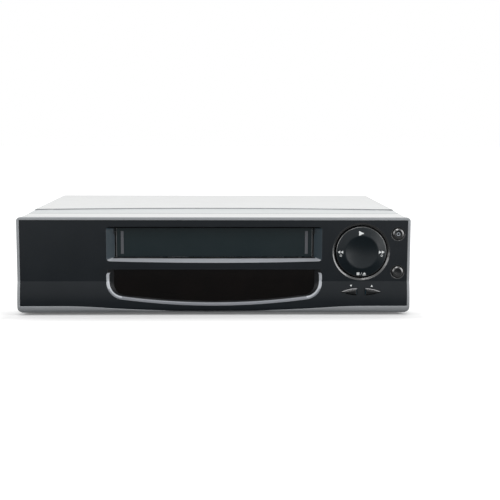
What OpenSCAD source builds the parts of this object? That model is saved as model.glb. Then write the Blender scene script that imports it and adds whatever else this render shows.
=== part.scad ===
/* [Case] */
// Width of the front bezel
case_w = 380; // [378:1:384]
// Height of the bezel's top edge above the table
case_h = 95; // [94.5:0.5:96]
// Distance from the flat of the front face to the back of the cover
case_d = 278; // [276:1:284]
// Thickness of the steel cover
sheet = 0.9; // [0.8:0.1:1.2]
// How far the lower front bulges past the flat of the face
flare = 3.5; // [2.5:0.5:4]
// Width of the silver rim round the black fascia
rim = 2.6; // [2:0.2:3]
// Height of the rear deck's pressed step
step_h = 1.2; // [0.8:0.2:1.6]

/* [Front] */
// Width of the cassette flap
flap_w = 191.2; // [189:0.2:191.4]
// Height of the cassette flap
flap_h = 26.6; // [26:0.1:26.8]
// Radius of the four-way rocker disc
disc_r = 24.2; // [23:0.2:24.4]
// Radius of the power and record buttons
button_r = 5.4; // [5:0.1:5.5]
// Travel of the push buttons
press = 1.5; // [1:0.1:1.5]

/* [Tape deck] */
// Inward travel of the cassette basket
basket_in = 60; // [50:1:60]
// Downward travel of the cassette basket
basket_down = 20; // [16:1:20]
// Diameter of the head drum
drum_d = 62; // [60:1:62]
// Tilt of the head drum from upright, in degrees
drum_tilt = 6; // [4:0.5:6]

/* [Hidden] */
$fn = 96;

half_w = case_w / 2;
face_y = -140;
chin_z = 1;
back_y = face_y + case_d;

// Side profile of the front: flat above the crease, bulged below it, upright again below the
// bulge and rolled under at the chin
crease_z = 33;
bulge_z = 12;
bulge_run = crease_z - bulge_z;
bulge_r = (bulge_run * bulge_run + flare * flare) / (2 * flare);
chin_r = 7;
front_back_y = -118;
lip_back_y = -134.4;

// Black fascia
fascia_x = half_w - rim;
fascia_top = case_h - rim;
fascia_low = 8.8;
fascia_sag = 5.4;
fascia_sag_x = 125;
fascia_t = 2.2;
fascia_inset = 0.4;

// Cassette opening: a bevelled mouth that narrows to the slot
mouth_x = 104.5;
mouth_low = 52.6;
mouth_high = 87.5;
mouth_sag = 1.4;
slot_x = 97.8;
slot_low = 55.6;
slot_high = 84.2;
mouth_depth = 8.5;
slot_y = face_y + mouth_depth;

// Display window: outer edge of the bevel and the glass
lip_x = 105;
lip_corner = 17;
lip_bow = 670;
lip_low = 9;
glass_x = 97.5;
glass_corner = 11;
glass_bow = 660;
glass_low = 13.4;
window_top = 44.6;
glass_y = face_y + 3.2;

// Controls, as places on the front
dial_x = 142.4;
dial_z = 61.9;
dial_ring_r = 27.4;
small_x = 178.1;
power_z = 79.3;
record_z = 42.2;
wing_gap = 3.8;
wing_len = 15.2;
wing_half = 3.4;
wing_z = 23.2;
wing_y = -145;
hole_gap = 0.3;

// Cover
cover_x = half_w - 2;
deck_z = case_h - 1;
rear_deck_z = deck_z + 0.6 + step_h;
step_ends_y = face_y + 74;
step_mid_y = face_y + 96;
step_sag = step_mid_y - step_ends_y;
step_r = (cover_x * cover_x + step_sag * step_sag) / (2 * step_sag);
ramp_y = face_y + 56;
cover_low = 5;
cover_bend = 3;

// Screws through the cover
side_screw_y = [-70, 84];
side_screw_z = 14;
rear_screw_x = [-150, 0, 150];
rear_screw_z = 89;
screw_r = 1.5;

// Cassette flap and the pivots of the rocker disc
flap_axis = [slot_y + 1.9, slot_high - 2.2];
flap_pin_r = 1.25;
flap_top_gap = 0.6;
flap_z = slot_high - flap_top_gap - flap_h;
flap_rib_from = 4.7;
flap_rib_w = 2.7;
pivot_y = -134;
pivot_pin_r = 1;
disc_back_y = face_y + 2.8;
ear_from = 7;
ear_t = 2;
prong_at = 17;
wing_stem = 9;

// Base, feet and rear panel
tray_z = 6;
tray_t = 1.2;
tray_x = cover_x - sheet - 0.5;
tray_y = front_back_y + 0.3;
tray_lip = 8;
rear_panel_y = back_y - sheet - 0.1;
rear_panel_t = 1.5;
rear_inner_y = rear_panel_y - rear_panel_t;
foot_x = 165;
foot_y = [-105, 115];
foot_r = 11;

// Sockets in the rear panel
scart_x = 50;
scart_z = [26, 48];
scart_w = 50;
scart_h = 16;
antenna_x = 128;
antenna_in_z = 50;
antenna_out_z = 28;
antenna_y = 145;
inlet_x = -150;
inlet_z = 24;
inlet_pitch = 8.6;
tuner_back_y = rear_inner_y - 2;

// Boards
board_t = 1.6;
main_board_z = 12;
board_top = main_board_z + board_t;
power_posts = [[-174, 14], [-112, 14], [-174, 122], [-112, 122]];
main_posts = [[-80, -102], [110, -102], [174, -102], [174, 90], [0, 122], [-80, 122]];
control_y = -126;
control_posts = [[-102, 18], [-102, 41], [112, 84], [179, 18]];
board_front_y = control_y - board_t;
switch_y = board_front_y - 3.5;
plunger_y = switch_y - 1.3;

// Tape deck, seen from above
fit = 0.05;
deck_top = 31.5;
deck_t = 1.5;
deck_x = 99.5;
deck_legs = [[-94, -108], [94, -108], [-94, 64], [94, 64]];
reel_x = 46;
reel_y = -66;
reel_r = 21;
drum_y = 36;
drum_base_z = 36;
drum_split = 15;
capstan = [66, 6];
clutch = [0, -40];
idler_reach = 30;
clutch_r = 15.9;
idler_r = 13.8;
clutch_pulley_r = 18;
capstan_pulley_r = 9;
belt_z = [15.2, 17.8];
cam_axis = [-78, 44];
cam_teeth = 48;
pinion_teeth = 12;
gear_module = 1;
gear_slack = 0.12;
pinion_axis = cam_axis + [0, (cam_teeth + pinion_teeth) * gear_module / 2];
guide_start = [26, -18];
guide_travel = [14, 50];
guide_slot_r = 2;
pinch_pivot = [88, 24];
pinch_at = [84, -2];
tension_pivot = [-66, -2];
tension_at = [-70, -24];
head_at = [56, 22];

// Cassette lift: brackets, slider and basket
bracket_x = 98.5;
bracket_t = 1;
bracket_y = [-126, -5];
bracket_top = 88;
slider_x = 100.5;
slider_t = 1;
basket_x = flap_w / 2 + 1;
basket_t = 1.2;
basket_y = [-124, -68];
basket_z = [55, 84.5];
lift_pin_y = [-104, -76];
lift_pin_z = 70;
lift_pin_r = 2;

// A flat shape drawn as the front is seen (x, z), given thickness from y0 back to y1
module seen(y0, y1) {
    translate([0, y1, 0]) rotate([90, 0, 0]) linear_extrude(y1 - y0) children();
}

// A side profile (y, z), run from x0 to x1
module run_x(x0, x1) {
    translate([x0, 0, 0]) rotate([90, 0, 90]) linear_extrude(x1 - x0) children();
}

module rod_x(r, x0, x1, y, z) {
    translate([x0, y, z]) rotate([0, 90, 0]) cylinder(r = r, h = x1 - x0);
}

module rod_y(r, y0, y1, x, z) {
    translate([x, y1, z]) rotate([90, 0, 0]) cylinder(r = r, h = y1 - y0);
}

module rod_z(r, z0, z1, x, y) {
    translate([x, y, z0]) cylinder(r = r, h = z1 - z0);
}

module box(from, to) {
    translate(from) cube(to - from);
}

// A flat rectangle with one corner radius below and another above
module soft_rect(x0, z0, x1, z1, r_low, r_high) {
    translate([x0, z0 + r_low]) square([x1 - x0, z1 - z0 - r_low - r_high]);
    translate([x0 + r_low, z0]) square([x1 - x0 - 2 * r_low, r_low]);
    translate([x0 + r_high, z1 - r_high]) square([x1 - x0 - 2 * r_high, r_high]);
    for (x = [x0 + r_low, x1 - r_low]) translate([x, z0 + r_low]) circle(r_low);
    for (x = [x0 + r_high, x1 - r_high]) translate([x, z1 - r_high]) circle(r_high);
}

// Front surface of the case, as a solid reaching back to y1
module front_mass(y1, x = half_w) {
    run_x(-x, x) union() {
        translate([face_y, bulge_z]) square([y1 - face_y, case_h - bulge_z]);
        intersection() {
            translate([face_y - flare + bulge_r, bulge_z]) circle(bulge_r, $fn = 256);
            translate([face_y - flare, bulge_z]) square([y1 - face_y + flare, bulge_run]);
        }
        translate([face_y - flare, chin_z + chin_r])
            square([y1 - face_y + flare, bulge_z - chin_z - chin_r]);
        intersection() {
            translate([face_y - flare + chin_r, chin_z + chin_r]) circle(chin_r);
            translate([face_y - flare, chin_z]) square([chin_r + 1, chin_r]);
        }
        translate([face_y - flare + chin_r, chin_z]) square([y1 - face_y + flare - chin_r, chin_r]);
    }
}

// Bottom edge of the fascia: level at the ends, one smooth dip across the middle
function fascia_edge(x) =
    fascia_low - fascia_sag * (abs(x) > fascia_sag_x ? 0 : (1 + cos(180 * x / fascia_sag_x)) / 2);

module fascia_outline(gap = 0) {
    steps = 24;
    x = fascia_x - gap;
    low = [for (i = [0:steps]) let (u = -fascia_sag_x + 2 * fascia_sag_x * i / steps)
        [u, fascia_edge(u) + gap]];
    polygon(concat([[-x, fascia_top - gap], [-x, fascia_low + gap]], low,
        [[x, fascia_low + gap], [x, fascia_top - gap]]));
}

// Flat-topped outline with rounded lower corners on one shallow bow
function bow_outline(a, r, bow, low, high) =
    let (
        c = a - r,
        cz = low + bow - sqrt((bow - r) * (bow - r) - c * c),
        turn = asin(c / (bow - r)),
        left = [for (i = [0:6]) let (t = 180 + (90 - turn) * i / 6) [-c + r * cos(t), cz + r * sin(t)]],
        belly = [for (i = [1:15]) let (t = 270 - turn + 2 * turn * i / 16)
            [bow * cos(t), low + bow + bow * sin(t)]],
        right = [for (i = [6:-1:0]) [-left[i][0], left[i][1]]]
    )
    concat([[-a, high]], left, belly, right, [[a, high]]);

module glass_outline(gap = 0) {
    polygon(bow_outline(glass_x - gap, glass_corner - gap, glass_bow - gap, glass_low + gap,
        window_top - gap));
}

// Leaf-shaped half key of the channel rocker: side is 1 for the right one, -1 for the left
module wing_outline(side, gap = 0) {
    arc_r = (wing_len * wing_len + wing_half * wing_half) / (2 * wing_half) + gap;
    root = dial_x + side * wing_gap;
    intersection() {
        translate([root, wing_z + wing_half + gap - arc_r]) circle(arc_r, $fn = 192);
        translate([root, wing_z - wing_half - gap + arc_r]) circle(arc_r, $fn = 192);
        translate([side > 0 ? root - gap : root - wing_len - 2 * gap, wing_z - 10])
            square([wing_len + 3 * gap, 20]);
    }
}

module cover_profile(top, wall) {
    r = cover_bend - wall;
    soft_rect(-cover_x + wall, cover_low - 10, cover_x - wall, top - wall, 1, r);
}

module cover_mass(wall) {
    y0 = lip_back_y + 0.2;
    y1 = back_y;
    difference() {
        seen(y0, y1) cover_profile(rear_deck_z, wall);
        // The front deck lies lower, inside the bowed step
        intersection() {
            box([-case_w, y0 - 1, deck_z - wall], [case_w, y1, case_h + 10]);
            translate([0, step_mid_y - step_r, deck_z - 5])
                cylinder(r = step_r + wall, h = 20, $fn = 256);
        }
    }
    // A shallow ramp rises from the front deck to the step
    intersection() {
        seen(y0, y1) cover_profile(rear_deck_z, wall);
        translate([0, step_mid_y - step_r, deck_z - 5])
            cylinder(r = step_r + wall, h = 20, $fn = 256);
        run_x(-cover_x, cover_x)
            polygon([[ramp_y, deck_z - wall - 0.05], [ramp_y, deck_z - wall],
                [step_mid_y + 2, deck_z - wall + 0.6], [step_mid_y + 2, deck_z - wall - 0.05]]);
    }
}

module top_cover() color([0.82, 0.83, 0.83]) {
    difference() {
        cover_mass(0);
        cover_mass(sheet);
        box([-case_w, -case_d, -20], [case_w, case_d, cover_low]);
        for (y = side_screw_y) rod_x(screw_r + 0.2, -case_w, case_w, y, side_screw_z);
        // Cooling slots low on each side, by the power board and the main board
        for (side = [-1, 1], i = [0:11], row = [0:1])
            translate([side * cover_x - 2, 20 + i * 8, 44 + row * 18]) cube([4, 3, 12]);
    }
    // Flanges folded in along the bottom, and down at the back
    for (side = [0, 1]) mirror([side, 0, 0])
        box([cover_x - 7, lip_back_y + 18, cover_low], [cover_x - sheet, back_y, cover_low + sheet]);
    difference() {
        box([-cover_x + 4, back_y - sheet, rear_screw_z - 5], [cover_x - 4, back_y, rear_deck_z - sheet]);
        for (x = rear_screw_x) rod_y(screw_r + 0.2, back_y - 5, back_y + 1, x, rear_screw_z);
    }
}

module front_bezel() color([0.62, 0.63, 0.65]) {
    skirt_x = cover_x - sheet - 0.5;
    difference() {
        intersection() {
            front_mass(front_back_y);
            seen(face_y - 20, front_back_y + 1)
                soft_rect(-half_w, chin_z, half_w, case_h, 6, 3.5);
        }
        // Seat of the fascia, following the bulge
        difference() {
            seen(face_y - 20, front_back_y) fascia_outline();
            translate([0, fascia_inset + fascia_t, 0]) front_mass(front_back_y + 10, half_w + 1);
        }
        seen(face_y - 20, front_back_y + 1)
            polygon([[-fascia_x + 3, 14], [fascia_x - 3, 14], [fascia_x - 3, fascia_top - 3],
                [-fascia_x + 3, fascia_top - 3]]);
        // The hollow behind, and the skirt that slides inside the cover
        box([-skirt_x + 2, face_y + 6, chin_z + 2.5], [skirt_x - 2, 0, deck_z - 4]);
        for (side = [0, 1]) mirror([side, 0, 0]) box([skirt_x, lip_back_y, 0], [case_w, 0, case_h + 5]);
        box([-case_w, lip_back_y, deck_z - sheet - 0.5], [case_w, 0, case_h + 5]);
        window_block(0.15);
    }
    // Hooks that grip the tray's front lip
    for (x = [-140, -70, 0, 70, 140]) {
        box([x - 8, tray_y - 1.8, chin_z + 0.5], [x + 8, tray_y, tray_z + tray_lip + 1.5]);
        box([x - 8, tray_y - 1, tray_z + tray_lip], [x + 8, tray_y + tray_t + 1.2, tray_z + tray_lip + 1.5]);
        box([x - 8, tray_y + tray_t, tray_z + tray_lip - 3],
            [x + 8, tray_y + tray_t + 1.2, tray_z + tray_lip + 1]);
    }
}

module mouth() {
    // Bevelled mouth of the cassette opening
    hull() {
        seen(face_y - 1, face_y - 0.99) polygon([[-mouth_x - 0.9, mouth_low - 0.4],
            [-mouth_x / 2, mouth_low - 1.2], [0, mouth_low - mouth_sag],
            [mouth_x / 2, mouth_low - 1.2], [mouth_x + 0.9, mouth_low - 0.4],
            [mouth_x + 0.9, mouth_high + 0.4], [-mouth_x - 0.9, mouth_high + 0.4]]);
        seen(slot_y, slot_y + 0.01) translate([-slot_x, slot_low]) square([2 * slot_x, slot_high - slot_low]);
    }
}

module window_bevel() {
    // Bevel that runs from the bulged face in to the glass
    hull() {
        seen(face_y - flare - 0.01, face_y - flare)
            polygon(bow_outline(lip_x, lip_corner, lip_bow, lip_low, window_top));
        seen(glass_y - 0.4, glass_y - 0.39) glass_outline();
    }
}

// Ears on the back of the fascia that hold the flap's pins
module flap_ears() {
    for (side = [0, 1]) mirror([side, 0, 0]) difference() {
        box([slot_x, slot_y - 1, slot_high - 6], [slot_x + 2.4, slot_y + 4.5, slot_high + 1.4]);
        rod_x(flap_pin_r + fit, slot_x - 1, slot_x + 4, flap_axis[0], flap_axis[1]);
    }
}

// Block behind the fascia that frames the glass
module window_block(gap = 0) {
    intersection() {
        seen(face_y - 10, glass_y + 3 + gap)
            translate([-lip_x - 2 - gap, 0]) square([2 * (lip_x + 2 + gap), window_top + 2]);
        translate([0, fascia_inset, 0]) front_mass(glass_y + 3 + gap);
        seen(face_y - 20, front_back_y) fascia_outline(0.15 - gap);
    }
}

module fascia_panel() color([0.11, 0.12, 0.13]) {
    difference() {
        union() {
            intersection() {
                seen(face_y - 20, front_back_y) fascia_outline(0.15);
                difference() {
                    translate([0, fascia_inset, 0]) front_mass(front_back_y, half_w + 1);
                    translate([0, fascia_inset + fascia_t, 0]) front_mass(front_back_y + 10, half_w + 2);
                }
            }
            // Walls behind the mouth
            difference() {
                box([-mouth_x - 2, face_y + 1, mouth_low - 3], [mouth_x + 2, slot_y, mouth_high + 1.7]);
                box([-mouth_x, face_y - 1, 0], [mouth_x, face_y + 0.9, 2 * case_h]);
            }
            window_block();
            intersection() {
                translate([0, fascia_inset + 1, 0]) front_mass(front_back_y);
                for (p = control_posts) rod_y(3, wing_y, board_front_y, p[0], p[1]);
            }
        }
        mouth();
        seen(face_y, slot_y + 1) translate([-slot_x, slot_low]) square([2 * slot_x, slot_high - slot_low]);
        window_bevel();
        seen(face_y - 5, glass_y + 1) glass_outline(-0.01);
        seen(glass_y, glass_y + 5) glass_outline(-1.2);
        // Dial hole with its bevelled ring, and the two small round keys
        rod_y(disc_r + 0.7, face_y - 5, face_y + 8, dial_x, dial_z);
        translate([dial_x, face_y + fascia_inset - 0.01, dial_z]) rotate([-90, 0, 0])
            cylinder(r1 = dial_ring_r, r2 = disc_r + 0.6, h = 1.6);
        for (z = [power_z, record_z]) {
            rod_y(button_r + hole_gap, face_y - 5, face_y + 8, small_x, z);
            translate([small_x, face_y + fascia_inset - 0.01, z]) rotate([-90, 0, 0])
                cylinder(r1 = button_r + 1.4, r2 = button_r + 0.2, h = 1.2);
        }
        for (side = [-1, 1]) seen(face_y - 8, face_y + 8) wing_outline(side, hole_gap);
        for (p = control_posts) rod_y(1.1, board_front_y - 6, board_front_y + 1, p[0], p[1]);
    }
    flap_ears();
}

module display_window() color([0.12, 0.09, 0.08, 0.7]) {
    seen(glass_y, glass_y + 2) glass_outline(-1);
}

module cassette_flap() color([0.13, 0.15, 0.16]) {
    x = flap_w / 2;
    box([-x, slot_y + 0.3, flap_z], [x, slot_y + 2.7, flap_z + flap_h]);
    for (side = [0, 1]) mirror([side, 0, 0]) {
        // Upright rib near each end, and the hinge pin
        box([x - flap_rib_from - flap_rib_w, slot_y - 0.2, flap_z + 1.8],
            [x - flap_rib_from, slot_y + 0.4, flap_z + flap_h - 2.4]);
        rod_x(flap_pin_r, x - 1, slot_x + 2.2, flap_axis[0], flap_axis[1]);
    }
    rod_x(1.2, -x, x, slot_y + 2.6, flap_z + 1.2);
}

module rocker_disc() color([0.09, 0.1, 0.11]) {
    crest_r = 16.4;
    dish_r = 15.4;
    dish_depth = 1.5;
    ball = (dish_r * dish_r + dish_depth * dish_depth) / (2 * dish_depth);
    translate([dial_x, 0, dial_z]) {
        difference() {
            translate([0, disc_back_y, 0]) rotate([90, 0, 0]) rotate_extrude()
                polygon([[0, 0], [disc_r, 0], [disc_r, 2.6], [disc_r - 0.5, 3.1], [crest_r, 5],
                    [dish_r, 5], [0, 5]]);
            translate([0, disc_back_y - 5 + dish_depth - ball, 0]) sphere(ball, $fn = 160);
        }
        // Ears for the cross, and four prongs that reach to the switches
        for (side = [-1, 1]) difference() {
            translate([-2, disc_back_y - 0.5, side > 0 ? ear_from : -ear_from - ear_t])
                cube([4, pivot_y + 2 - disc_back_y + 0.5, ear_t]);
            translate([0, pivot_y, -20]) cylinder(r = pivot_pin_r + fit, h = 40);
        }
        for (turn = [0:90:270]) rotate([0, turn, 0]) translate([prong_at, disc_back_y - 0.5, 0])
            rotate([-90, 0, 0]) cylinder(r = 2, h = plunger_y - 1.05 - disc_back_y + 0.5);
    }
}

module rocker_cross() color([0.75, 0.75, 0.72]) {
    reach = ear_from + ear_t;
    translate([dial_x, pivot_y, dial_z]) {
        difference() {
            rod_y(6, -1.2, 1.2, 0, 0);
            rod_y(3.6, -2, 2, 0, 0);
        }
        for (side = [-1, 1]) {
            rod_x(pivot_pin_r, side > 0 ? 5.5 : -reach, side > 0 ? reach : -5.5, 0, 0);
            rod_z(pivot_pin_r, side > 0 ? 5.5 : -reach, side > 0 ? reach : -5.5, 0, 0);
        }
    }
}

module round_key(z) {
    // A shallow dish in the front, a collar behind the fascia and a stem to the switch
    difference() {
        rod_y(button_r, face_y - 1.2, face_y + 4, small_x, z);
        translate([small_x, face_y - 1.2 - 20, z]) sphere(20.6, $fn = 128);
    }
    rod_y(5.9, face_y + 3, face_y + 4, small_x, z);
    rod_y(2, face_y + 4, plunger_y - press - 0.1, small_x, z);
}

module power_button() color([0.1, 0.11, 0.12]) { round_key(power_z); }

module record_button() color([0.1, 0.11, 0.12]) { round_key(record_z); }

module channel_key(side) {
    back = face_y + 2.3;
    intersection() {
        seen(wing_y, back) wing_outline(side);
        rod_x(12, 0, case_w, wing_y + 12, wing_z);
    }
    seen(back - 1, back) wing_outline(side, 0.7);
    rod_y(1.5, back - 0.5, plunger_y - press - 0.1, dial_x + side * wing_stem, wing_z);
}

module channel_down_button() color([0.12, 0.13, 0.14]) { channel_key(-1); }

module channel_up_button() color([0.12, 0.13, 0.14]) { channel_key(1); }

module control_board() color([0.16, 0.34, 0.2]) {
    difference() {
        seen(board_front_y, control_y)
            polygon([[-106, 13], [183, 13], [183, 88], [108, 88], [108, 45], [-106, 45]]);
        for (p = control_posts) rod_y(1.4, -130, -120, p[0], p[1]);
    }
    // Post with two ears that carries the rocker's cross
    translate([dial_x, 0, dial_z]) for (side = [-1, 1]) difference() {
        translate([side > 0 ? ear_from : -ear_from - ear_t, pivot_y - 2, -2.2])
            cube([ear_t, board_front_y + 0.1 - pivot_y + 2, 4.4]);
        rod_x(pivot_pin_r + fit, -20, 20, pivot_y, 0);
    }
}

module tact_switches() color([0.25, 0.25, 0.27]) {
    places = [[small_x, power_z], [small_x, record_z], [dial_x - wing_stem, wing_z],
        [dial_x + wing_stem, wing_z], [dial_x + prong_at, dial_z], [dial_x - prong_at, dial_z],
        [dial_x, dial_z + prong_at], [dial_x, dial_z - prong_at]];
    for (p = places) {
        box([p[0] - 3, switch_y, p[1] - 3], [p[0] + 3, board_front_y, p[1] + 3]);
        rod_y(1.7, plunger_y, switch_y + 0.5, p[0], p[1]);
    }
}

module vfd_display() color([0.2, 0.32, 0.3]) {
    back = board_front_y - 1;
    box([-52, back - 4, 19], [52, back, 42]);
    // The seal of its glass envelope, and the row of pins to the board
    rod_x(1.5, -56, -51, back - 2, 30);
    for (x = [-48:6:48]) box([x - 0.4, back - 0.5, 17], [x + 0.4, board_front_y, 20]);
}

module base_tray() color([0.66, 0.67, 0.66]) {
    difference() {
        union() {
            box([-tray_x, tray_y, tray_z], [tray_x, rear_inner_y, tray_z + tray_t]);
            for (side = [0, 1]) mirror([side, 0, 0])
                box([tray_x - tray_t, tray_y, tray_z], [tray_x, rear_inner_y, tray_z + 18]);
            box([-tray_x, tray_y, tray_z], [tray_x, tray_y + tray_t, tray_z + tray_lip]);
            box([-tray_x, rear_inner_y - tray_t, tray_z], [tray_x, rear_inner_y, tray_z + tray_lip]);
            for (p = concat(power_posts, main_posts)) rod_z(3.2, tray_z + 0.5, main_board_z, p[0], p[1]);
        }
        for (p = concat(power_posts, main_posts)) rod_z(1.4, tray_z - 1, main_board_z + 1, p[0], p[1]);
        for (p = deck_legs) rod_z(1.6, tray_z - 1, tray_z + 2, p[0], p[1]);
        for (y = side_screw_y) rod_x(screw_r, -case_w, case_w, y, side_screw_z);
        for (x = [-foot_x, foot_x], y = foot_y) rod_z(screw_r, tray_z - 1, tray_z + 2, x, y);
        // Cooling slots
        for (x = [-145, -50, 50, 145], i = [0:7])
            box([x - 22, 20 + i * 8, tray_z - 1], [x + 22, 23 + i * 8, tray_z + 2]);
    }
}

module foot(x, y) {
    difference() {
        union() {
            translate([x, y, 0]) cylinder(r1 = foot_r - 1.5, r2 = foot_r, h = 1.5);
            rod_z(foot_r, 1.5, tray_z, x, y);
        }
        rod_z(3.6, -1, 3, x, y);
        rod_z(screw_r + 0.2, -1, tray_z + 1, x, y);
    }
}

module foot_front_left() color([0.08, 0.08, 0.08]) { foot(-foot_x, foot_y[0]); }

module foot_front_right() color([0.08, 0.08, 0.08]) { foot(foot_x, foot_y[0]); }

module foot_rear_left() color([0.08, 0.08, 0.08]) { foot(-foot_x, foot_y[1]); }

module foot_rear_right() color([0.08, 0.08, 0.08]) { foot(foot_x, foot_y[1]); }

module foot_screws() color([0.7, 0.7, 0.68]) {
    for (x = [-foot_x, foot_x], y = foot_y) {
        rod_z(3.1, 1.4, 3, x, y);
        rod_z(1.4, 2.5, tray_z + 4, x, y);
    }
}

module cover_screws() color([0.3, 0.3, 0.32]) {
    for (side = [0, 1], y = side_screw_y) mirror([side, 0, 0]) {
        rod_x(3.2, cover_x, cover_x + 1.7, y, side_screw_z);
        rod_x(1.4, cover_x - 7, cover_x + 1, y, side_screw_z);
    }
    for (x = rear_screw_x) {
        rod_y(3.2, back_y, back_y + 1.7, x, rear_screw_z);
        rod_y(1.4, back_y - 7, back_y + 1, x, rear_screw_z);
    }
}

module rear_panel() color([0.15, 0.15, 0.16]) {
    y0 = rear_inner_y;
    difference() {
        seen(y0, rear_panel_y)
            soft_rect(-tray_x, tray_z + 0.2, tray_x, rear_deck_z - sheet - 0.3, 1, cover_bend - sheet);
        for (z = scart_z) box([scart_x - scart_w / 2 - 0.2, y0 - 1, z - scart_h / 2 - 0.2],
            [scart_x + scart_w / 2 + 0.2, y0 + 5, z + scart_h / 2 + 0.2]);
        for (z = [antenna_in_z, antenna_out_z]) rod_y(7.2, y0 - 1, y0 + 5, antenna_x, z);
        box([inlet_x - 12.2, y0 - 1, inlet_z - 8.2], [inlet_x + 12.2, y0 + 5, inlet_z + 8.2]);
        for (x = rear_screw_x) rod_y(screw_r, y0 - 1, y0 + 5, x, rear_screw_z);
        // Cooling slots above the power board and the tape deck
        for (x = [-172:8:-116]) box([x, y0 - 1, 46], [x + 4, y0 + 5, 74]);
        for (x = [-80:8:-8]) box([x, y0 - 1, 58], [x + 4, y0 + 5, 78]);
    }
}

// Socket for a flat plug with two rows of contacts; legs, if any, stand on the main board
module scart(z, legs) {
    y0 = rear_panel_y - 19;
    y1 = rear_panel_y + 1.4;
    w = scart_w / 2;
    h = scart_h / 2;
    difference() {
        union() {
            box([scart_x - w, y0, z - h], [scart_x + w, y1, z + h]);
            box([scart_x - w - 4, rear_inner_y - 1.6, z - h - 1], [scart_x + w + 4, rear_inner_y, z + h + 1]);
            for (x = legs) box([x - 1.5, y0 + 1, board_top], [x + 1.5, y0 + 9, z - h + 1]);
        }
        // The shroud's recess has one slanted corner, and holds two rows of contact slots
        seen(y1 - 8, y1 + 1) polygon([[scart_x - 22, z - 5.5], [scart_x + 22, z - 5.5],
            [scart_x + 22, z + 1], [scart_x + 18, z + 5.5], [scart_x - 22, z + 5.5]]);
        for (row = [-2.6, 2.6], i = [0:9]) translate([scart_x - 17.5 + i * 3.8 - 0.5, y1 - 12, z + row - 1.5])
            cube([1, 6, 3]);
    }
}

module scart_socket_lower() color([0.07, 0.07, 0.08]) {
    scart(scart_z[0], [scart_x - 20, scart_x, scart_x + 20]);
}

module scart_socket_upper() color([0.07, 0.07, 0.08]) { scart(scart_z[1], []); }

module tuner_box() color([0.74, 0.75, 0.74]) {
    wall = 0.6;
    difference() {
        box([antenna_x - 20, tuner_back_y - 44, board_top], [antenna_x + 32, tuner_back_y, 66]);
        box([antenna_x - 20 + wall, tuner_back_y - 44 + wall, board_top - 1],
            [antenna_x + 32 - wall, tuner_back_y - wall, 66 - wall]);
        // Trimming holes in the lid
        for (i = [0:2]) rod_z(2, 62, 67, antenna_x + 4 + i * 10, tuner_back_y - 22);
    }
}

module antenna_socket(z, shell_r, bore_r, core_r, hole_r) {
    difference() {
        union() {
            rod_y(7, tuner_back_y, rear_panel_y + 0.8, antenna_x, z);
            rod_y(shell_r, tuner_back_y, antenna_y, antenna_x, z);
        }
        difference() {
            rod_y(bore_r, antenna_y - 9, antenna_y + 1, antenna_x, z);
            rod_y(core_r, antenna_y - 10, antenna_y - 0.6, antenna_x, z);
        }
        if (hole_r > 0) rod_y(hole_r, antenna_y - 9.6, antenna_y + 1, antenna_x, z);
    }
}

module antenna_in_socket() color([0.78, 0.78, 0.76]) {
    antenna_socket(antenna_in_z, 6.4, 4.85, 2.4, 1.2);
}

module antenna_out_socket() color([0.78, 0.78, 0.76]) {
    antenna_socket(antenna_out_z, 4.75, 3.9, 1.15, 0);
}

module mains_inlet() color([0.07, 0.07, 0.08]) {
    y1 = rear_panel_y + 1.4;
    difference() {
        union() {
            box([inlet_x - 12, y1 - 20, inlet_z - 8], [inlet_x + 12, y1, inlet_z + 8]);
            box([inlet_x - 15, rear_inner_y - 2, inlet_z - 9.5], [inlet_x + 15, rear_inner_y, inlet_z + 9.5]);
            for (x = [inlet_x - 8, inlet_x + 8])
                box([x - 1.5, y1 - 19, board_top], [x + 1.5, y1 - 11, inlet_z]);
        }
        for (side = [-1, 1]) rod_y(4.6, y1 - 13, y1 + 1, inlet_x + side * inlet_pitch / 2, inlet_z);
        box([inlet_x - inlet_pitch / 2, y1 - 13, inlet_z - 3.8],
            [inlet_x + inlet_pitch / 2, y1 + 1, inlet_z + 3.8]);
    }
    for (side = [-1, 1]) rod_y(1.15, y1 - 14, y1 - 3, inlet_x + side * inlet_pitch / 2, inlet_z);
}

module main_board() color([0.14, 0.36, 0.2]) {
    difference() {
        box([-86, -110, main_board_z], [180, 130, board_top]);
        for (p = main_posts) rod_z(1.6, main_board_z - 1, board_top + 1, p[0], p[1]);
        for (p = deck_legs) rod_z(5, main_board_z - 1, board_top + 1, p[0], p[1]);
    }
}

// Parts soldered to a board: boxes as [x, y, width, depth, height], cans as [x, y, radius, height]
module soldered(boxes, cans) {
    for (b = boxes) box([b[0] - b[2] / 2, b[1] - b[3] / 2, board_top],
        [b[0] + b[2] / 2, b[1] + b[3] / 2, board_top + b[4]]);
    for (c = cans) rod_z(c[2], board_top, board_top + c[3], c[0], c[1]);
}

module main_board_parts() color([0.12, 0.12, 0.13]) {
    flat_chips = [[-58, -94, 34, 12, 2.6], [60, -94, 30, 12, 2.6], [-56, -30, 24, 24, 2.4],
        [-40, 46, 26, 26, 2.4], [30, 98, 38, 14, 3.2]];
    right_side = [[146, -62, 44, 16, 3.4], [128, -22, 26, 30, 14], [160, -20, 20, 24, 16],
        [136, 40, 36, 44, 20], [166, 66, 14, 20, 12], [-62, 104, 20, 12, 12]];
    cans = [[116, -86, 5, 12], [130, -86, 5, 12], [170, -84, 6.3, 16], [120, 8, 4, 11], [132, 8, 4, 11],
        [144, 8, 4, 11], [172, 20, 5, 12], [172, 34, 5, 12], [-30, 104, 5, 12], [-16, 104, 5, 12]];
    soldered(concat(flat_chips, right_side), cans);
}

module power_board() color([0.55, 0.42, 0.2]) {
    difference() {
        box([-180, 8, main_board_z], [-106, 128, board_top]);
        for (p = power_posts) rod_z(1.6, main_board_z - 1, board_top + 1, p[0], p[1]);
    }
}

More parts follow.
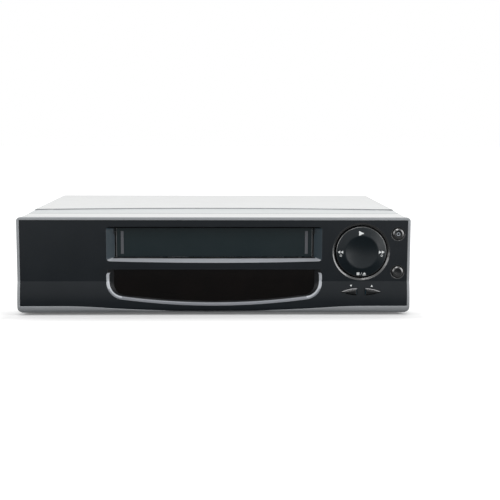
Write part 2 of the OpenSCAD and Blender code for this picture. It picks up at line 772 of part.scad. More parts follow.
module power_transformer() color([0.45, 0.44, 0.42]) {
    core = [[-172, 30], [-116, 60]];
    middle = (core[0] + core[1]) / 2;
    // Feet, stacked core and the winding that comes out on both sides of it
    box([core[0][0] - 4, core[0][1] + 4, board_top], [core[1][0] + 4, core[1][1] - 4, board_top + 2]);
    box([core[0][0], core[0][1], board_top + 2], [core[1][0], core[1][1], 62]);
    box([middle[0] - 15, core[0][1] - 10, 24], [middle[0] + 15, core[1][1] + 10, 54]);
}

module heat_sink() color([0.72, 0.73, 0.74]) {
    box([-176, 88, board_top], [-116, 91, 60]);
    for (i = [0:9]) box([-174 + i * 6, 90.5, board_top + 4], [-172.6 + i * 6, 102, 60]);
}

module power_board_parts() color([0.16, 0.2, 0.34]) {
    boxes = [[-128, 114, 14, 12, 18], [-172, 114, 8, 22, 10], [-146, 85.9, 14, 4.2, 24],
        [-122, 76, 12, 10, 14]];
    cans = [[-164, 78, 8, 24], [-146, 108, 6, 16], [-111, 100, 4, 11], [-132, 76, 5, 14]];
    soldered(boxes, cans);
}

function arc(centre, r, from, to, steps = 16) =
    [for (i = [0:steps]) let (t = from + (to - from) * i / steps) centre + r * [cos(t), sin(t)]];

// Outline round a circle of radius a at p and one of radius b at q, with their common tangents
module strap_outline(p, a, q, b) {
    run = q - p;
    heading = atan2(run[1], run[0]);
    lean = acos((a - b) / norm(run));
    polygon(concat(arc(p, a, heading + lean, heading + 360 - lean),
        arc(q, b, heading - lean, heading + lean)));
}

module strap(z0, z1, p, a, q, b) {
    translate([0, 0, z0]) linear_extrude(z1 - z0) strap_outline(p, a, q, b);
}

module deck_chassis() color([0.7, 0.7, 0.68]) {
    bottom = deck_top - deck_t;
    difference() {
        union() {
            translate([0, 0, bottom]) linear_extrude(deck_t)
                polygon([[-deck_x, -124], [deck_x, -124], [deck_x, 76], [-52, 76], [-52, 90],
                    [-104, 90], [-104, 10], [-deck_x, 10]]);
            // Lips turned down along the front and the back
            box([-deck_x, -124, bottom - 5], [deck_x, -122.5, bottom]);
            box([-52, 74.5, bottom - 5], [deck_x, 76, bottom]);
        }
        rod_z(5 + fit, 20, 40, capstan[0], capstan[1]);
        rod_z(2 + fit, 20, 40, clutch[0], clutch[1]);
        for (side = [-1, 1]) guide_slot(side);
        for (x = [-70, 0, 70]) box([x - 20, -116, 20], [x + 20, -96, 40]);
    }
    for (p = deck_legs) {
        rod_z(3.5, tray_z + tray_t, bottom, p[0], p[1]);
        rod_z(1.5, tray_z, tray_z + tray_t, p[0], p[1]);
    }
    // Fixed posts for the reel tables, the cam gear and the two arms
    for (side = [-1, 1]) rod_z(1.5, bottom, 44, side * reel_x, reel_y);
    rod_z(2, bottom, 39, cam_axis[0], cam_axis[1]);
    rod_z(2, bottom, 38, pinch_pivot[0], pinch_pivot[1]);
    rod_z(1.5, bottom, 38, tension_pivot[0], tension_pivot[1]);
}

module guide_slot(side) {
    start = [side * guide_start[0], guide_start[1]];
    end = start + [side * guide_travel[0], guide_travel[1]];
    strap(20, 40, start, guide_slot_r, end, guide_slot_r);
}

module lift_bracket() {
    outer = bracket_x + bracket_t;
    difference() {
        union() {
            box([bracket_x, bracket_y[0], deck_top], [outer, bracket_y[1], bracket_top]);
            // Foot on the deck, and the ledge that the slider runs along
            box([bracket_x - 6, bracket_y[0] + 2, deck_top], [outer, bracket_y[1], deck_top + 1]);
            box([bracket_x, bracket_y[0], 38], [outer + 3, bracket_y[1], 39.5]);
        }
        box([bracket_x - 1, lift_pin_y[0] - 2.5, lift_pin_z - basket_down - 2.5],
            [outer + 1, lift_pin_y[1] + basket_in + 2.5, lift_pin_z + 2.5]);
    }
}

module bracket_left() color([0.73, 0.73, 0.71]) { mirror([1, 0, 0]) lift_bracket(); }

module bracket_right() color([0.73, 0.73, 0.71]) { lift_bracket(); }

module bracket_bridge() color([0.73, 0.73, 0.71]) {
    z = [86, 87.5];
    box([-bracket_x, -125, z[0]], [bracket_x, -112, z[1]]);
    box([-bracket_x, -16, z[0]], [bracket_x, -6, z[1]]);
    for (x = [-70, 0, 70]) box([x - 5, -113, z[0]], [x + 5, -15, z[1]]);
}

module lift_slider() color([0.6, 0.61, 0.62]) {
    outer = slider_x + slider_t;
    bar = [89, 90.5];
    for (side = [0, 1]) mirror([side, 0, 0]) difference() {
        box([slider_x, lift_pin_y[0] - 8, 39.8], [outer, lift_pin_y[1] + 8, bar[1]]);
        for (y = lift_pin_y) {
            box([slider_x - 1, y - lift_pin_r - fit, lift_pin_z - basket_down],
                [outer + 1, y + lift_pin_r + fit, lift_pin_z]);
            for (z = [lift_pin_z - basket_down, lift_pin_z])
                rod_x(lift_pin_r + fit, slider_x - 1, outer + 1, y, z);
        }
    }
    box([-outer, -84, bar[0]], [outer, -74, bar[1]]);
}

module cassette_basket() color([0.66, 0.67, 0.68]) {
    for (side = [0, 1]) mirror([side, 0, 0]) {
        box([basket_x, basket_y[0], basket_z[0]], [basket_x + basket_t, basket_y[1], basket_z[1]]);
        box([82, basket_y[0], basket_z[0]], [basket_x, basket_y[1] - 3, basket_z[0] + 1]);
        // Stop for the cassette, and the pins that run in the bracket and the slider
        box([84, -72, basket_z[0]], [basket_x, -71, basket_z[0] + 15]);
        for (y = lift_pin_y) rod_x(lift_pin_r, basket_x + 1, slider_x + slider_t + 1, y, lift_pin_z);
    }
    box([-basket_x - basket_t, -100, basket_z[1] - 1], [basket_x + basket_t, basket_y[1], basket_z[1]]);
    // Spring tongues that press on the cassette
    for (x = [-60, 60]) box([x - 6, -96, basket_z[1] - 2.6], [x + 6, -76, basket_z[1] - 0.5]);
}

// The drum's own frame, leaning towards the supply side
module on_drum() {
    translate([0, drum_y, drum_base_z]) rotate([0, -drum_tilt, 0]) children();
}

module lower_drum() color([0.76, 0.76, 0.75]) {
    difference() {
        union() {
            on_drum() cylinder(r = drum_d / 2, h = drum_split - 0.3);
            rod_z(20, deck_top, drum_base_z + 4, 0, drum_y);
        }
        on_drum() translate([0, 0, 4]) cylinder(r = 3 + fit, h = drum_split);
        // The ledge that guides the tape's lower edge
        on_drum() translate([0, 0, 9]) difference() {
            cylinder(r = drum_d / 2 + 1, h = drum_split);
            translate([0, 0, -1]) cylinder(r = drum_d / 2 - 0.3, h = drum_split + 2);
        }
    }
}

module upper_drum() color([0.82, 0.82, 0.81]) {
    on_drum() {
        difference() {
            union() {
                translate([0, 0, drum_split]) cylinder(r = drum_d / 2 - 0.3, h = 14);
                translate([0, 0, drum_split + 13]) cylinder(r = 14, h = 6);
            }
            // Shallow ring in the top, and the two windows for the heads
            translate([0, 0, drum_split + 11]) difference() {
                cylinder(r = drum_d / 2 - 4, h = 5);
                translate([0, 0, -1]) cylinder(r = 14, h = 8);
            }
            for (side = [-1, 1]) translate([-2, side * drum_d / 2 - 2, drum_split - 1]) cube([4, 4, 3]);
        }
        translate([0, 0, 5]) cylinder(r = 3, h = drum_split);
    }
}

module capstan_bearing() color([0.72, 0.6, 0.3]) {
    difference() {
        union() {
            rod_z(5, deck_top - deck_t - 3, deck_top + 1, capstan[0], capstan[1]);
            rod_z(8, deck_top, deck_top + 2, capstan[0], capstan[1]);
        }
        rod_z(1.5 + fit, 20, 40, capstan[0], capstan[1]);
    }
}

module capstan_flywheel() color([0.6, 0.6, 0.62]) {
    x = capstan[0];
    y = capstan[1];
    difference() {
        rod_z(28, 18.6, 26, x, y);
        difference() {
            rod_z(24, 22.5, 30, x, y);
            rod_z(7, 22, 30, x, y);
        }
    }
    rod_z(capstan_pulley_r, 14.8, 19, x, y);
    rod_z(capstan_pulley_r + 1.5, 14.4, 15, x, y);
    rod_z(1.5, 14.4, 60, x, y);
}

module reel_belt() color([0.08, 0.08, 0.08]) {
    gap = 0.1;
    outer = gap + 1.2;
    translate([0, 0, belt_z[0]]) linear_extrude(belt_z[1] - belt_z[0]) difference() {
        strap_outline(capstan, capstan_pulley_r + outer, clutch, clutch_pulley_r + outer);
        strap_outline(capstan, capstan_pulley_r + gap, clutch, clutch_pulley_r + gap);
    }
}

module clutch_pulley() color([0.85, 0.84, 0.8]) {
    x = clutch[0];
    y = clutch[1];
    rod_z(clutch_pulley_r, 14.6, 18.4, x, y);
    for (z = [14.4, 18]) rod_z(clutch_pulley_r + 1.5, z, z + 0.6, x, y);
    rod_z(2, 14.4, 35.2, x, y);
    rod_z(clutch_r, 33, 35.2, x, y);
}

module idler_arm() color([0.7, 0.7, 0.68]) {
    end = clutch - [0, idler_reach];
    difference() {
        strap(31.7, 32.7, clutch, 5, end, 3.5);
        rod_z(2 + fit, 30, 34, clutch[0], clutch[1]);
    }
    rod_z(1.5, 32, 35.4, end[0], end[1]);
}

module idler_wheel() color([0.1, 0.1, 0.1]) {
    y = clutch[1] - idler_reach;
    difference() {
        rod_z(idler_r, 33, 35, clutch[0], y);
        rod_z(1.5 + fit, 30, 40, clutch[0], y);
    }
}

module reel_table(x) {
    difference() {
        union() {
            rod_z(reel_r, 32.2, 35, x, reel_y);
            rod_z(5, 34, 44.6, x, reel_y);
            // Three splines that catch the hub
            for (turn = [0:120:240]) translate([x, reel_y, 34]) rotate(turn) translate([0, -1, 0])
                cube([6.6, 2, 9]);
        }
        rod_z(1.5 + fit, 30, 50, x, reel_y);
        // Counting marks round the rim, read from below
        for (turn = [0:45:315]) translate([x, reel_y, 31]) rotate(turn) translate([12, -2, 0])
            cube([5, 4, 2]);
    }
}

module supply_reel_table() color([0.9, 0.9, 0.87]) { reel_table(-reel_x); }

module take_up_reel_table() color([0.9, 0.9, 0.87]) { reel_table(reel_x); }

// Tape guide on its carriage; side is -1 for supply and 1 for take-up
module tape_guide(side) {
    x = side * guide_start[0];
    y = guide_start[1];
    box([x - 7, y - 5, deck_top + 0.2], [x + 7, y + 5, deck_top + 4]);
    rod_z(guide_slot_r - 0.15, 27, deck_top + 1, x, y);
    box([x - 5, y - 5, 27], [x + 5, y + 5, deck_top - deck_t - 0.3]);
    // Roller between two flanges, and the slant pole beside it
    rod_z(1.5, deck_top + 3, 58, x, y);
    rod_z(3, 38, 55, x, y);
    for (z = [37, 55]) rod_z(4, z, z + 1, x, y);
    translate([x - side * 5, y, deck_top + 3]) rotate([8, 0, 0]) cylinder(r = 1, h = 21);
}

module supply_guide() color([0.8, 0.8, 0.8]) { tape_guide(-1); }

module take_up_guide() color([0.8, 0.8, 0.8]) { tape_guide(1); }

module pinch_arm() color([0.7, 0.7, 0.68]) {
    difference() {
        union() {
            rod_z(5, deck_top + 0.2, 36, pinch_pivot[0], pinch_pivot[1]);
            strap(34, 36, pinch_pivot, 4.4, pinch_at, 4);
        }
        rod_z(2 + fit, 30, 40, pinch_pivot[0], pinch_pivot[1]);
    }
    rod_z(1.5, 35, 57.4, pinch_at[0], pinch_at[1]);
}

module pinch_roller() color([0.1, 0.1, 0.1]) {
    difference() {
        rod_z(8, 37, 56, pinch_at[0], pinch_at[1]);
        rod_z(1.5 + fit, 30, 60, pinch_at[0], pinch_at[1]);
    }
}

module tension_arm() color([0.7, 0.7, 0.68]) {
    difference() {
        union() {
            rod_z(4, deck_top + 0.2, 35, tension_pivot[0], tension_pivot[1]);
            strap(33, 34.4, tension_pivot, 3.4, tension_at, 3);
        }
        rod_z(1.5 + fit, 30, 40, tension_pivot[0], tension_pivot[1]);
    }
    rod_z(1.5, 34, 56, tension_at[0], tension_at[1]);
}

// A tape head: a block with a rounded face, on a plate that stands on the deck
module tape_head(x, y, turn) {
    translate([x, y, 0]) rotate(turn) {
        box([-6, -5, deck_top], [6, 5, deck_top + 1.5]);
        box([-2, -2, deck_top + 1], [2, 2, 40]);
        intersection() {
            box([-5, -5, 39], [5, 4, 55]);
            rod_z(7, 38, 56, 0, 2);
        }
    }
}

module erase_head() color([0.55, 0.56, 0.58]) { tape_head(-head_at[0], head_at[1] - 6, -40); }

module sound_head() color([0.55, 0.56, 0.58]) { tape_head(head_at[0], head_at[1], 40); }

module loading_motor() color([0.78, 0.78, 0.78]) {
    x = pinion_axis[0];
    y = pinion_axis[1];
    difference() {
        union() {
            rod_z(12, 40, 64, x, y);
            box([x - 14, y - 12, 38.5], [x + 14, y + 12, 40.5]);
            for (side = [-1, 1]) rod_z(2, deck_top, 39, x + side * 11, y + 8);
        }
        rod_z(1 + fit, 30, 48, x, y);
    }
}

// Angle in degrees by which an involute has left its base circle at radius r
function involute(base, r) = let (u = sqrt(max(r * r / (base * base) - 1, 0))) u * 180 / PI - atan(u);

// Spur gear outline with 20 degree flanks, thinned a little so that the pair runs free
module gear_outline(teeth, turn) {
    pitch = teeth * gear_module / 2;
    base = pitch * cos(20);
    tip = pitch + 0.75 * gear_module;
    root = pitch - 1.1 * gear_module;
    start = max(base, root);
    half = 90 / teeth - gear_slack / pitch * 90 / PI + involute(base, pitch);
    flank = [for (i = [0:3]) let (r = start + (tip - start) * i / 3) [r, half - involute(base, r)]];
    edge = concat([[root, flank[0][1]]], flank);
    polygon([for (tooth = [0:teeth - 1]) let (middle = turn + 360 * tooth / teeth) each concat(
        [for (e = edge) e[0] * [cos(middle - e[1]), sin(middle - e[1])]],
        [for (i = [len(edge) - 1:-1:0]) edge[i][0] * [cos(middle + edge[i][1]), sin(middle + edge[i][1])]]
    )]);
}

module cam_gear() color([0.86, 0.85, 0.8]) {
    translate([cam_axis[0], cam_axis[1], 0]) difference() {
        union() {
            translate([0, 0, 32.2]) linear_extrude(4.4) gear_outline(cam_teeth, 0);
            rod_z(6, 32, 38.5, 0, 0);
        }
        rod_z(2 + fit, 30, 40, 0, 0);
        // Cam track in the upper face
        difference() {
            rod_z(18, 34.6, 40, 4, 0);
            rod_z(13.5, 30, 41, 4, 0);
            rod_z(6, 30, 41, 0, 0);
        }
    }
}

module loading_pinion() color([0.82, 0.72, 0.4]) {
    translate([pinion_axis[0], pinion_axis[1], 32.2]) linear_extrude(4.6) gear_outline(pinion_teeth, 15);
    rod_z(1, 32, 47.5, pinion_axis[0], pinion_axis[1]);
}

top_cover();
front_bezel();
fascia_panel();
display_window();
cassette_flap();
rocker_disc();
rocker_cross();
power_button();
record_button();
channel_down_button();
channel_up_button();
vfd_display();
control_board();
tact_switches();
base_tray();
foot_front_left();
foot_front_right();
foot_rear_left();
foot_rear_right();
rear_panel();
scart_socket_lower();
scart_socket_upper();
tuner_box();
antenna_in_socket();
antenna_out_socket();
mains_inlet();
main_board();
main_board_parts();
power_board();
power_transformer();
power_board_parts();
heat_sink();
deck_chassis();
bracket_left();
bracket_right();
bracket_bridge();
lift_slider();
cassette_basket();
lower_drum();
upper_drum();
capstan_bearing();
capstan_flywheel();
reel_belt();
clutch_pulley();
idler_arm();
idler_wheel();
supply_reel_table();
take_up_reel_table();
supply_guide();
take_up_guide();
pinch_arm();
pinch_roller();
tension_arm();
erase_head();
sound_head();
loading_motor();
loading_pinion();
cam_gear();
cover_screws();
foot_screws();
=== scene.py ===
"""Looks of a front-loading cassette recorder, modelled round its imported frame."""

import logging
import math
from collections.abc import Callable, Iterator, Sequence
from contextlib import contextmanager
from dataclasses import dataclass, field
from enum import Enum

import bmesh
import bpy
from mathutils import Matrix, Vector


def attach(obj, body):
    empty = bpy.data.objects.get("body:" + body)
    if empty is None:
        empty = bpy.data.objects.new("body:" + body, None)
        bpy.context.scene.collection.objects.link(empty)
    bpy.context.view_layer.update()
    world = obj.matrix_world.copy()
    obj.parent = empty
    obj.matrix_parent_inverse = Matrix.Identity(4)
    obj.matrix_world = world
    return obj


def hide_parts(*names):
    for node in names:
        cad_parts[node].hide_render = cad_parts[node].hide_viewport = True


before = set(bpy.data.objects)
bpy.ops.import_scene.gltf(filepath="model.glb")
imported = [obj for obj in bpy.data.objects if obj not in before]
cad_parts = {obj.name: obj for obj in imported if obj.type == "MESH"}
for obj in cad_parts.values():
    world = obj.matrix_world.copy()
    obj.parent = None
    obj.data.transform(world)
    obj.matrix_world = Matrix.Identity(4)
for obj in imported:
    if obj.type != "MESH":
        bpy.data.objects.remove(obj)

MM = 0.001
FAR = 400.0
AIM = (0.0, 0.0, 0.05)
BUMP_DEPTH = 0.0001
COAT_ROUGHNESS = 0.08
WHITE = (1, 1, 1, 1)
PAPER_WHITE = (0.88, 0.88, 0.88, 1)
PAPER_BOUNCE = (0.5, 0.5, 0.5, 1)
DUST_GREY = (0.5, 0.49, 0.47, 1)

Colour = tuple[float, float, float]
Pair = tuple[float, float]
Triple = tuple[float, float, float]

log = logging.getLogger("recorder")


# Outlines ---------------------------------------------------------------------------------------


def arc(centre: Pair, radius: float, start: float, end: float, steps: int) -> list[Pair]:
    """Points along a circle's arc.

    Args:
        centre: Middle of the circle.
        radius: Its radius.
        start: Angle of the first point, in degrees.
        end: Angle of the last point, in degrees.
        steps: Number of stretches between the points.

    Returns:
        The points from start to end.
    """
    turns = (math.radians(start + (end - start) * i / steps) for i in range(steps + 1))
    return [(centre[0] + radius * math.cos(t), centre[1] + radius * math.sin(t)) for t in turns]


def soft_rect(low: Pair, high: Pair, r_low: float, r_high: float, steps: int = 6) -> list[Pair]:
    """A rectangle with one corner radius below and another above.

    Args:
        low: Lower left corner.
        high: Upper right corner.
        r_low: Radius of the lower corners.
        r_high: Radius of the upper corners.
        steps: Stretches in each corner.

    Returns:
        The outline, anticlockwise.
    """
    return (
        arc((low[0] + r_low, low[1] + r_low), r_low, 180, 270, steps)
        + arc((high[0] - r_low, low[1] + r_low), r_low, 270, 360, steps)
        + arc((high[0] - r_high, high[1] - r_high), r_high, 0, 90, steps)
        + arc((low[0] + r_high, high[1] - r_high), r_high, 90, 180, steps)
    )


def seen(outline: Sequence[Pair], y: float) -> list[Triple]:
    """Puts an outline (x, z), as seen from the front, at depth y."""
    return [(x, y, z) for x, z in outline]


def stretch(start: float, end: float, steps: int) -> list[float]:
    """Equally spaced values from start to end."""
    return [start + (end - start) * i / steps for i in range(steps + 1)]


@dataclass(frozen=True)
class FrontShape:
    """Sizes that the front's pieces share, in millimetres."""

    half_width: float = 190.0
    height: float = 95.0
    face: float = -140.0
    crease: float = 33.0
    bulge_level: float = 12.0
    flare: float = 3.5
    chin_level: float = 2.0
    chin_radius: float = 6.6
    back: float = -118.0
    rim: float = 2.6
    fascia_low: float = 9.2
    fascia_sag: float = 5.1
    bow_reach: float = 128.0
    bow_end: float = 112.0
    fascia_inset: float = 0.4
    fascia_wall: float = 2.2
    slot_y: float = -131.5
    glass_y: float = -136.8
    window_top: float = 44.6
    arm_top: float = 41.2
    arm_round: float = 1.8
    edge_run: float = 150.0
    hinge: Pair = (-129.6, 82.0)
    ahead: float = -160.0
    through: float = 60.0

    @property
    def bulge_radius(self) -> float:
        """Radius of the bulge below the crease."""
        run = self.crease - self.bulge_level
        return (run * run + self.flare * self.flare) / (2 * self.flare)

    def surface(self, z: float) -> float:
        """Depth y of the front's surface at height z, above the chin."""
        if z >= self.crease:
            return self.face
        r = self.bulge_radius
        return self.face - self.flare + r - math.sqrt(r * r - (z - self.bulge_level) ** 2)

    def profile(self, inset: float = 0.0, low: float = 1.0) -> list[Pair]:
        """Side profile (y, z) of the front's surface from the top edge down round the chin.

        Args:
            inset: Distance by which it lies behind the case's surface.
            low: Level at which it stops.

        Returns:
            The points, from the top to the bottom.
        """
        levels = [self.height, *stretch(self.crease, self.bulge_level, 12)]
        points = [(self.surface(z) + inset, z) for z in levels]
        r = self.chin_radius
        centre = (self.face - self.flare + r + inset, self.chin_level + r)
        end = 180 + math.degrees(math.asin(min((centre[1] - low) / r, 1)))
        return points + arc(centre, r, 180, end, 10)

    def dip(self, x: float) -> float:
        """How far the fascia's lower edge hangs down at x: a bow whose ends ease into the straight edge."""
        away = abs(x)
        rest = 1 - (self.bow_end / self.bow_reach) ** 2
        slope = 2 * self.bow_end / self.bow_reach**2
        ease = max(0.0, 1 - (away - self.bow_end) * slope / (2 * rest)) ** 2
        return self.fascia_sag * (1 - (away / self.bow_reach) ** 2 if away < self.bow_end else rest * ease)

    def fascia_outline(self, gap: float = 0.0) -> list[Pair]:
        """Outline (x, z) of the black fascia, whose lower edge dips in the middle."""
        x = self.half_width - self.rim - gap
        top = self.height - self.rim - gap
        low = self.fascia_low + gap
        edge = [(u, low - self.dip(u)) for u in stretch(-self.edge_run, self.edge_run, 30)]
        return [(-x, top), (-x, low), *edge, (x, low), (x, top)]

    def bow_outline(self, half: float, corner: float, bow: float, low: float) -> list[Pair]:
        """Flat-topped outline of the window, with rounded lower corners on a shallow bow.

        Args:
            half: Half of its width.
            corner: Radius of the lower corners.
            bow: Radius of the bowed lower edge.
            low: Lowest level.

        Returns:
            The outline, from the upper left round to the upper right.
        """
        across = half - corner
        level = low + bow - math.sqrt((bow - corner) ** 2 - across**2)
        turn = math.degrees(math.asin(across / (bow - corner)))
        left = arc((-across, level), corner, 180, 270 - turn, 10)
        belly = arc((0, low + bow), bow, 270 - turn, 270 + turn, 20)[1:-1]
        right = [(-x, z) for x, z in reversed(left)]
        top, tip = self.window_top, self.arm_top
        side = [top, tip, tip - 0.4, tip - 1.0, tip - self.arm_round, *stretch(tip - 3, level, 4)[:-1]]
        return [*((-half, z) for z in side), *left, *belly, *right, *((half, z) for z in reversed(side))]


SHAPE = FrontShape()


# Modelling --------------------------------------------------------------------------------------


class Join(Enum):
    """How one piece meets another in a boolean."""

    CUT = "DIFFERENCE"
    ADD = "UNION"
    KEEP = "INTERSECT"


def select_only(*objects: bpy.types.Object) -> None:
    """Selects these objects alone and makes the first one active."""
    bpy.ops.object.select_all(action="DESELECT")
    for item in objects:
        item.select_set(True)
    bpy.context.view_layer.objects.active = objects[0]


class Piece:
    """A mesh on the bench, shaped with Blender's own tools. Sizes are in millimetres."""

    def __init__(self, name: str) -> None:
        """Takes the object that was just added and names it."""
        self.obj = bpy.context.object
        self.obj.name = name
        self.obj.data.name = name

    @classmethod
    def block(cls, name: str, low: Triple, high: Triple) -> "Piece":
        """A box between two corners, to be shaped further."""
        bpy.ops.object.select_all(action="DESELECT")
        a, b = Vector(low) * MM, Vector(high) * MM
        bpy.ops.mesh.primitive_cube_add(size=1, location=(a + b) / 2)
        piece = cls(name)
        piece.obj.scale = b - a
        return piece.settle()

    @classmethod
    def rod(cls, name: str, radius: float, start: Triple, end: Triple, sides: int = 64) -> "Piece":
        """A round bar between two points.

        Args:
            name: Name of the piece.
            radius: Its radius.
            start: Middle of one end.
            end: Middle of the other end.
            sides: Number of flats round it.

        Returns:
            The bar.
        """
        bpy.ops.object.select_all(action="DESELECT")
        a, b = Vector(start) * MM, Vector(end) * MM
        turn = (b - a).to_track_quat("Z", "Y").to_euler()
        bpy.ops.mesh.primitive_cylinder_add(
            vertices=sides, radius=radius * MM, depth=(b - a).length, location=(a + b) / 2, rotation=turn
        )
        return cls(name).settle()

    @classmethod
    def drawn(cls, name: str, corners: Sequence[Triple], push: Triple | None = None, shut: bool = True) -> "Piece":
        """Draws an outline corner by corner, fills it and pushes it out into a solid.

        Args:
            name: Name of the piece.
            corners: The outline's points.
            push: Way by which the filled face is pushed out.
            shut: Whether the outline is closed by a face.

        Returns:
            The piece.
        """
        bpy.ops.object.select_all(action="DESELECT")
        bpy.ops.mesh.primitive_plane_add(size=MM, location=Vector(corners[0]) * MM)
        piece = cls(name)
        with piece.editing("VERT"):
            bpy.ops.mesh.select_all(action="SELECT")
            bpy.ops.mesh.merge(type="CENTER")
            for here, there in zip(corners, corners[1:]):
                step = (Vector(there) - Vector(here)) * MM
                bpy.ops.mesh.extrude_vertices_move(TRANSFORM_OT_translate={"value": step})
            bpy.ops.mesh.select_all(action="SELECT")
            if shut:
                bpy.ops.mesh.edge_face_add()
            if push:
                bpy.ops.mesh.extrude_region_move(TRANSFORM_OT_translate={"value": Vector(push) * MM})
        piece.settle()
        return piece.face_outward() if push else piece

    @classmethod
    def upright(cls, name: str, outline: Sequence[Pair], front: float, run: float) -> "Piece":
        """A prism with an outline (x, z), as seen from the front, that runs back from a depth y."""
        return cls.drawn(name, seen(outline, front), (0, run, 0))

    @classmethod
    def sideways(cls, name: str, profile: Sequence[Pair], half: float, middle: float = 0.0) -> "Piece":
        """A prism with a side profile (y, z) that reaches as far to the left of a middle as to its right."""
        return cls.drawn(name, [(middle - half, y, z) for y, z in profile], (2 * half, 0, 0))

    @classmethod
    def lofted(cls, name: str, rings: Sequence[Sequence[Triple]]) -> "Piece":
        """A closed form that runs through flat outlines with the same number of corners.

        Args:
            name: Name of the piece.
            rings: The outlines, in order, each at its own depth y.

        Returns:
            The piece.
        """
        piece = cls.drawn(name, rings[0])
        with piece.editing("VERT"):
            bpy.ops.mesh.select_all(action="SELECT")
            for here, there in zip(rings, rings[1:]):
                run = Vector((0, there[0][1] - here[0][1], 0)) * MM
                bpy.ops.mesh.extrude_region_move(TRANSFORM_OT_translate={"value": run})
                mesh = bmesh.from_edit_mesh(piece.obj.data)
                ring = [vert for vert in mesh.verts if vert.select]
                done = []
                for start, end in zip(here, there):
                    spot = Vector(start) * MM + run
                    corner = min(ring, key=lambda vert: (vert.co - spot).length_squared)
                    ring.remove(corner)
                    cls.pick(mesh, [corner])
                    bpy.ops.transform.translate(value=Vector(end) * MM - spot)
                    done.append(corner)
                cls.pick(mesh, done)
        return piece.face_outward()

    @classmethod
    def turned(cls, name: str, profile: Sequence[Pair], centre: Pair, steps: int = 96) -> "Piece":
        """A round form spun about an axis that runs from front to back.

        Args:
            name: Name of the piece.
            profile: Points (radius, y), from the axis out and back to the axis.
            centre: Place (x, z) of the axis.
            steps: Number of stretches round it.

        Returns:
            The piece.
        """
        x, z = centre
        piece = cls.drawn(name, [(x + r, y, z) for r, y in profile], shut=False)
        with piece.editing("VERT"):
            bpy.ops.mesh.select_all(action="SELECT")
            bpy.ops.mesh.spin(steps=steps, angle=math.tau, center=(x * MM, 0, z * MM), axis=(0, 1, 0))
            bpy.ops.mesh.select_all(action="SELECT")
            bpy.ops.mesh.remove_doubles(threshold=MM / 500)
        return piece.face_outward()

    def face_outward(self) -> "Piece":
        """Turns every face of a closed mesh outwards."""
        with self.editing("FACE"):
            bpy.ops.mesh.select_all(action="SELECT")
            bpy.ops.mesh.normals_make_consistent(inside=False)
            if bmesh.from_edit_mesh(self.obj.data).calc_volume(signed=True) < 0:
                bpy.ops.mesh.flip_normals()
        return self

    @staticmethod
    def pick(mesh: bmesh.types.BMesh, chosen: Sequence[bmesh.types.BMVert]) -> None:
        """Selects these vertices alone."""
        for vert in mesh.verts:
            vert.select_set(False)
        for vert in chosen:
            vert.select_set(True)
        mesh.select_flush(True)

    @contextmanager
    def editing(self, mode: str) -> Iterator[bmesh.types.BMesh]:
        """Opens the piece in edit mode, with nothing selected, to select by VERT, EDGE or FACE."""
        select_only(self.obj)
        bpy.ops.object.mode_set(mode="EDIT")
        bpy.ops.mesh.select_mode(type=mode)
        bpy.ops.mesh.select_all(action="DESELECT")
        yield bmesh.from_edit_mesh(self.obj.data)
        bpy.ops.object.mode_set(mode="OBJECT")

    def settle(self) -> "Piece":
        """Brings the object to the origin, with its place in its mesh."""
        select_only(self.obj)
        bpy.ops.object.transform_apply(location=True, rotation=True, scale=True)
        return self

    def apply(self, kind: str, **settings: object) -> "Piece":
        """Adds a modifier with these settings and applies it."""
        modifier = self.obj.modifiers.new("step", kind)
        for name, value in settings.items():
            setattr(modifier, name, value)
        select_only(self.obj)
        bpy.ops.object.modifier_apply(modifier=modifier.name)
        return self

    def carve(self, tool: "Piece", how: Join = Join.CUT) -> "Piece":
        """Cuts away, adds or keeps what a second piece covers, and uses that piece up."""
        self.apply("BOOLEAN", operation=how.value, solver="EXACT", object=tool.obj)
        tool.discard()
        return self

    def gather(self, *others: "Piece") -> "Piece":
        """Takes other pieces into this one's mesh."""
        select_only(self.obj, *(other.obj for other in others))
        bpy.ops.object.join()
        return self

    def moved(self, name: str, place: Matrix) -> "Piece":
        """A copy of the piece with its own mesh.

        Args:
            name: Name of the copy.
            place: How it is moved and turned, in millimetres.

        Returns:
            The copy.
        """
        twin = Piece.__new__(Piece)
        twin.obj = self.obj.copy()
        twin.obj.data = self.obj.data.copy()
        twin.obj.name = twin.obj.data.name = name
        bpy.context.scene.collection.objects.link(twin.obj)
        shift = place.copy()
        shift.translation *= MM
        twin.obj.matrix_world = shift
        return twin.settle()

    def discard(self) -> None:
        """Takes the piece off the bench."""
        bpy.data.objects.remove(self.obj)

    def repeated(self, name: str, places: Sequence[Matrix]) -> "Piece":
        """Copies of the piece at these places, as one piece. It uses this one up."""
        copies = [self.moved(name, place) for place in places]
        self.discard()
        return copies[0].gather(*copies[1:])

    def mirrored(self, name: str) -> "Piece":
        """A copy of the piece on the other side of the middle."""
        return self.moved(name, Matrix.Scale(-1, 4, (1, 0, 0))).face_outward()

    def select_edges(self, mesh: bmesh.types.BMesh, sharp: float, where: Callable[[Vector], bool] | None) -> None:
        """Selects the edges that turn by more than an angle and whose middle passes a test.

        Args:
            mesh: The piece's mesh, in edit mode.
            sharp: Least angle, in degrees.
            where: Test of an edge's middle, in millimetres, or nothing to take every place.
        """
        for edge in mesh.edges:
            middle = (edge.verts[0].co + edge.verts[1].co) / (2 * MM)
            turns = len(edge.link_faces) == 2 and edge.calc_face_angle(0) > math.radians(sharp)
            edge.select_set(turns and (where is None or where(middle)))
        bmesh.update_edit_mesh(self.obj.data)

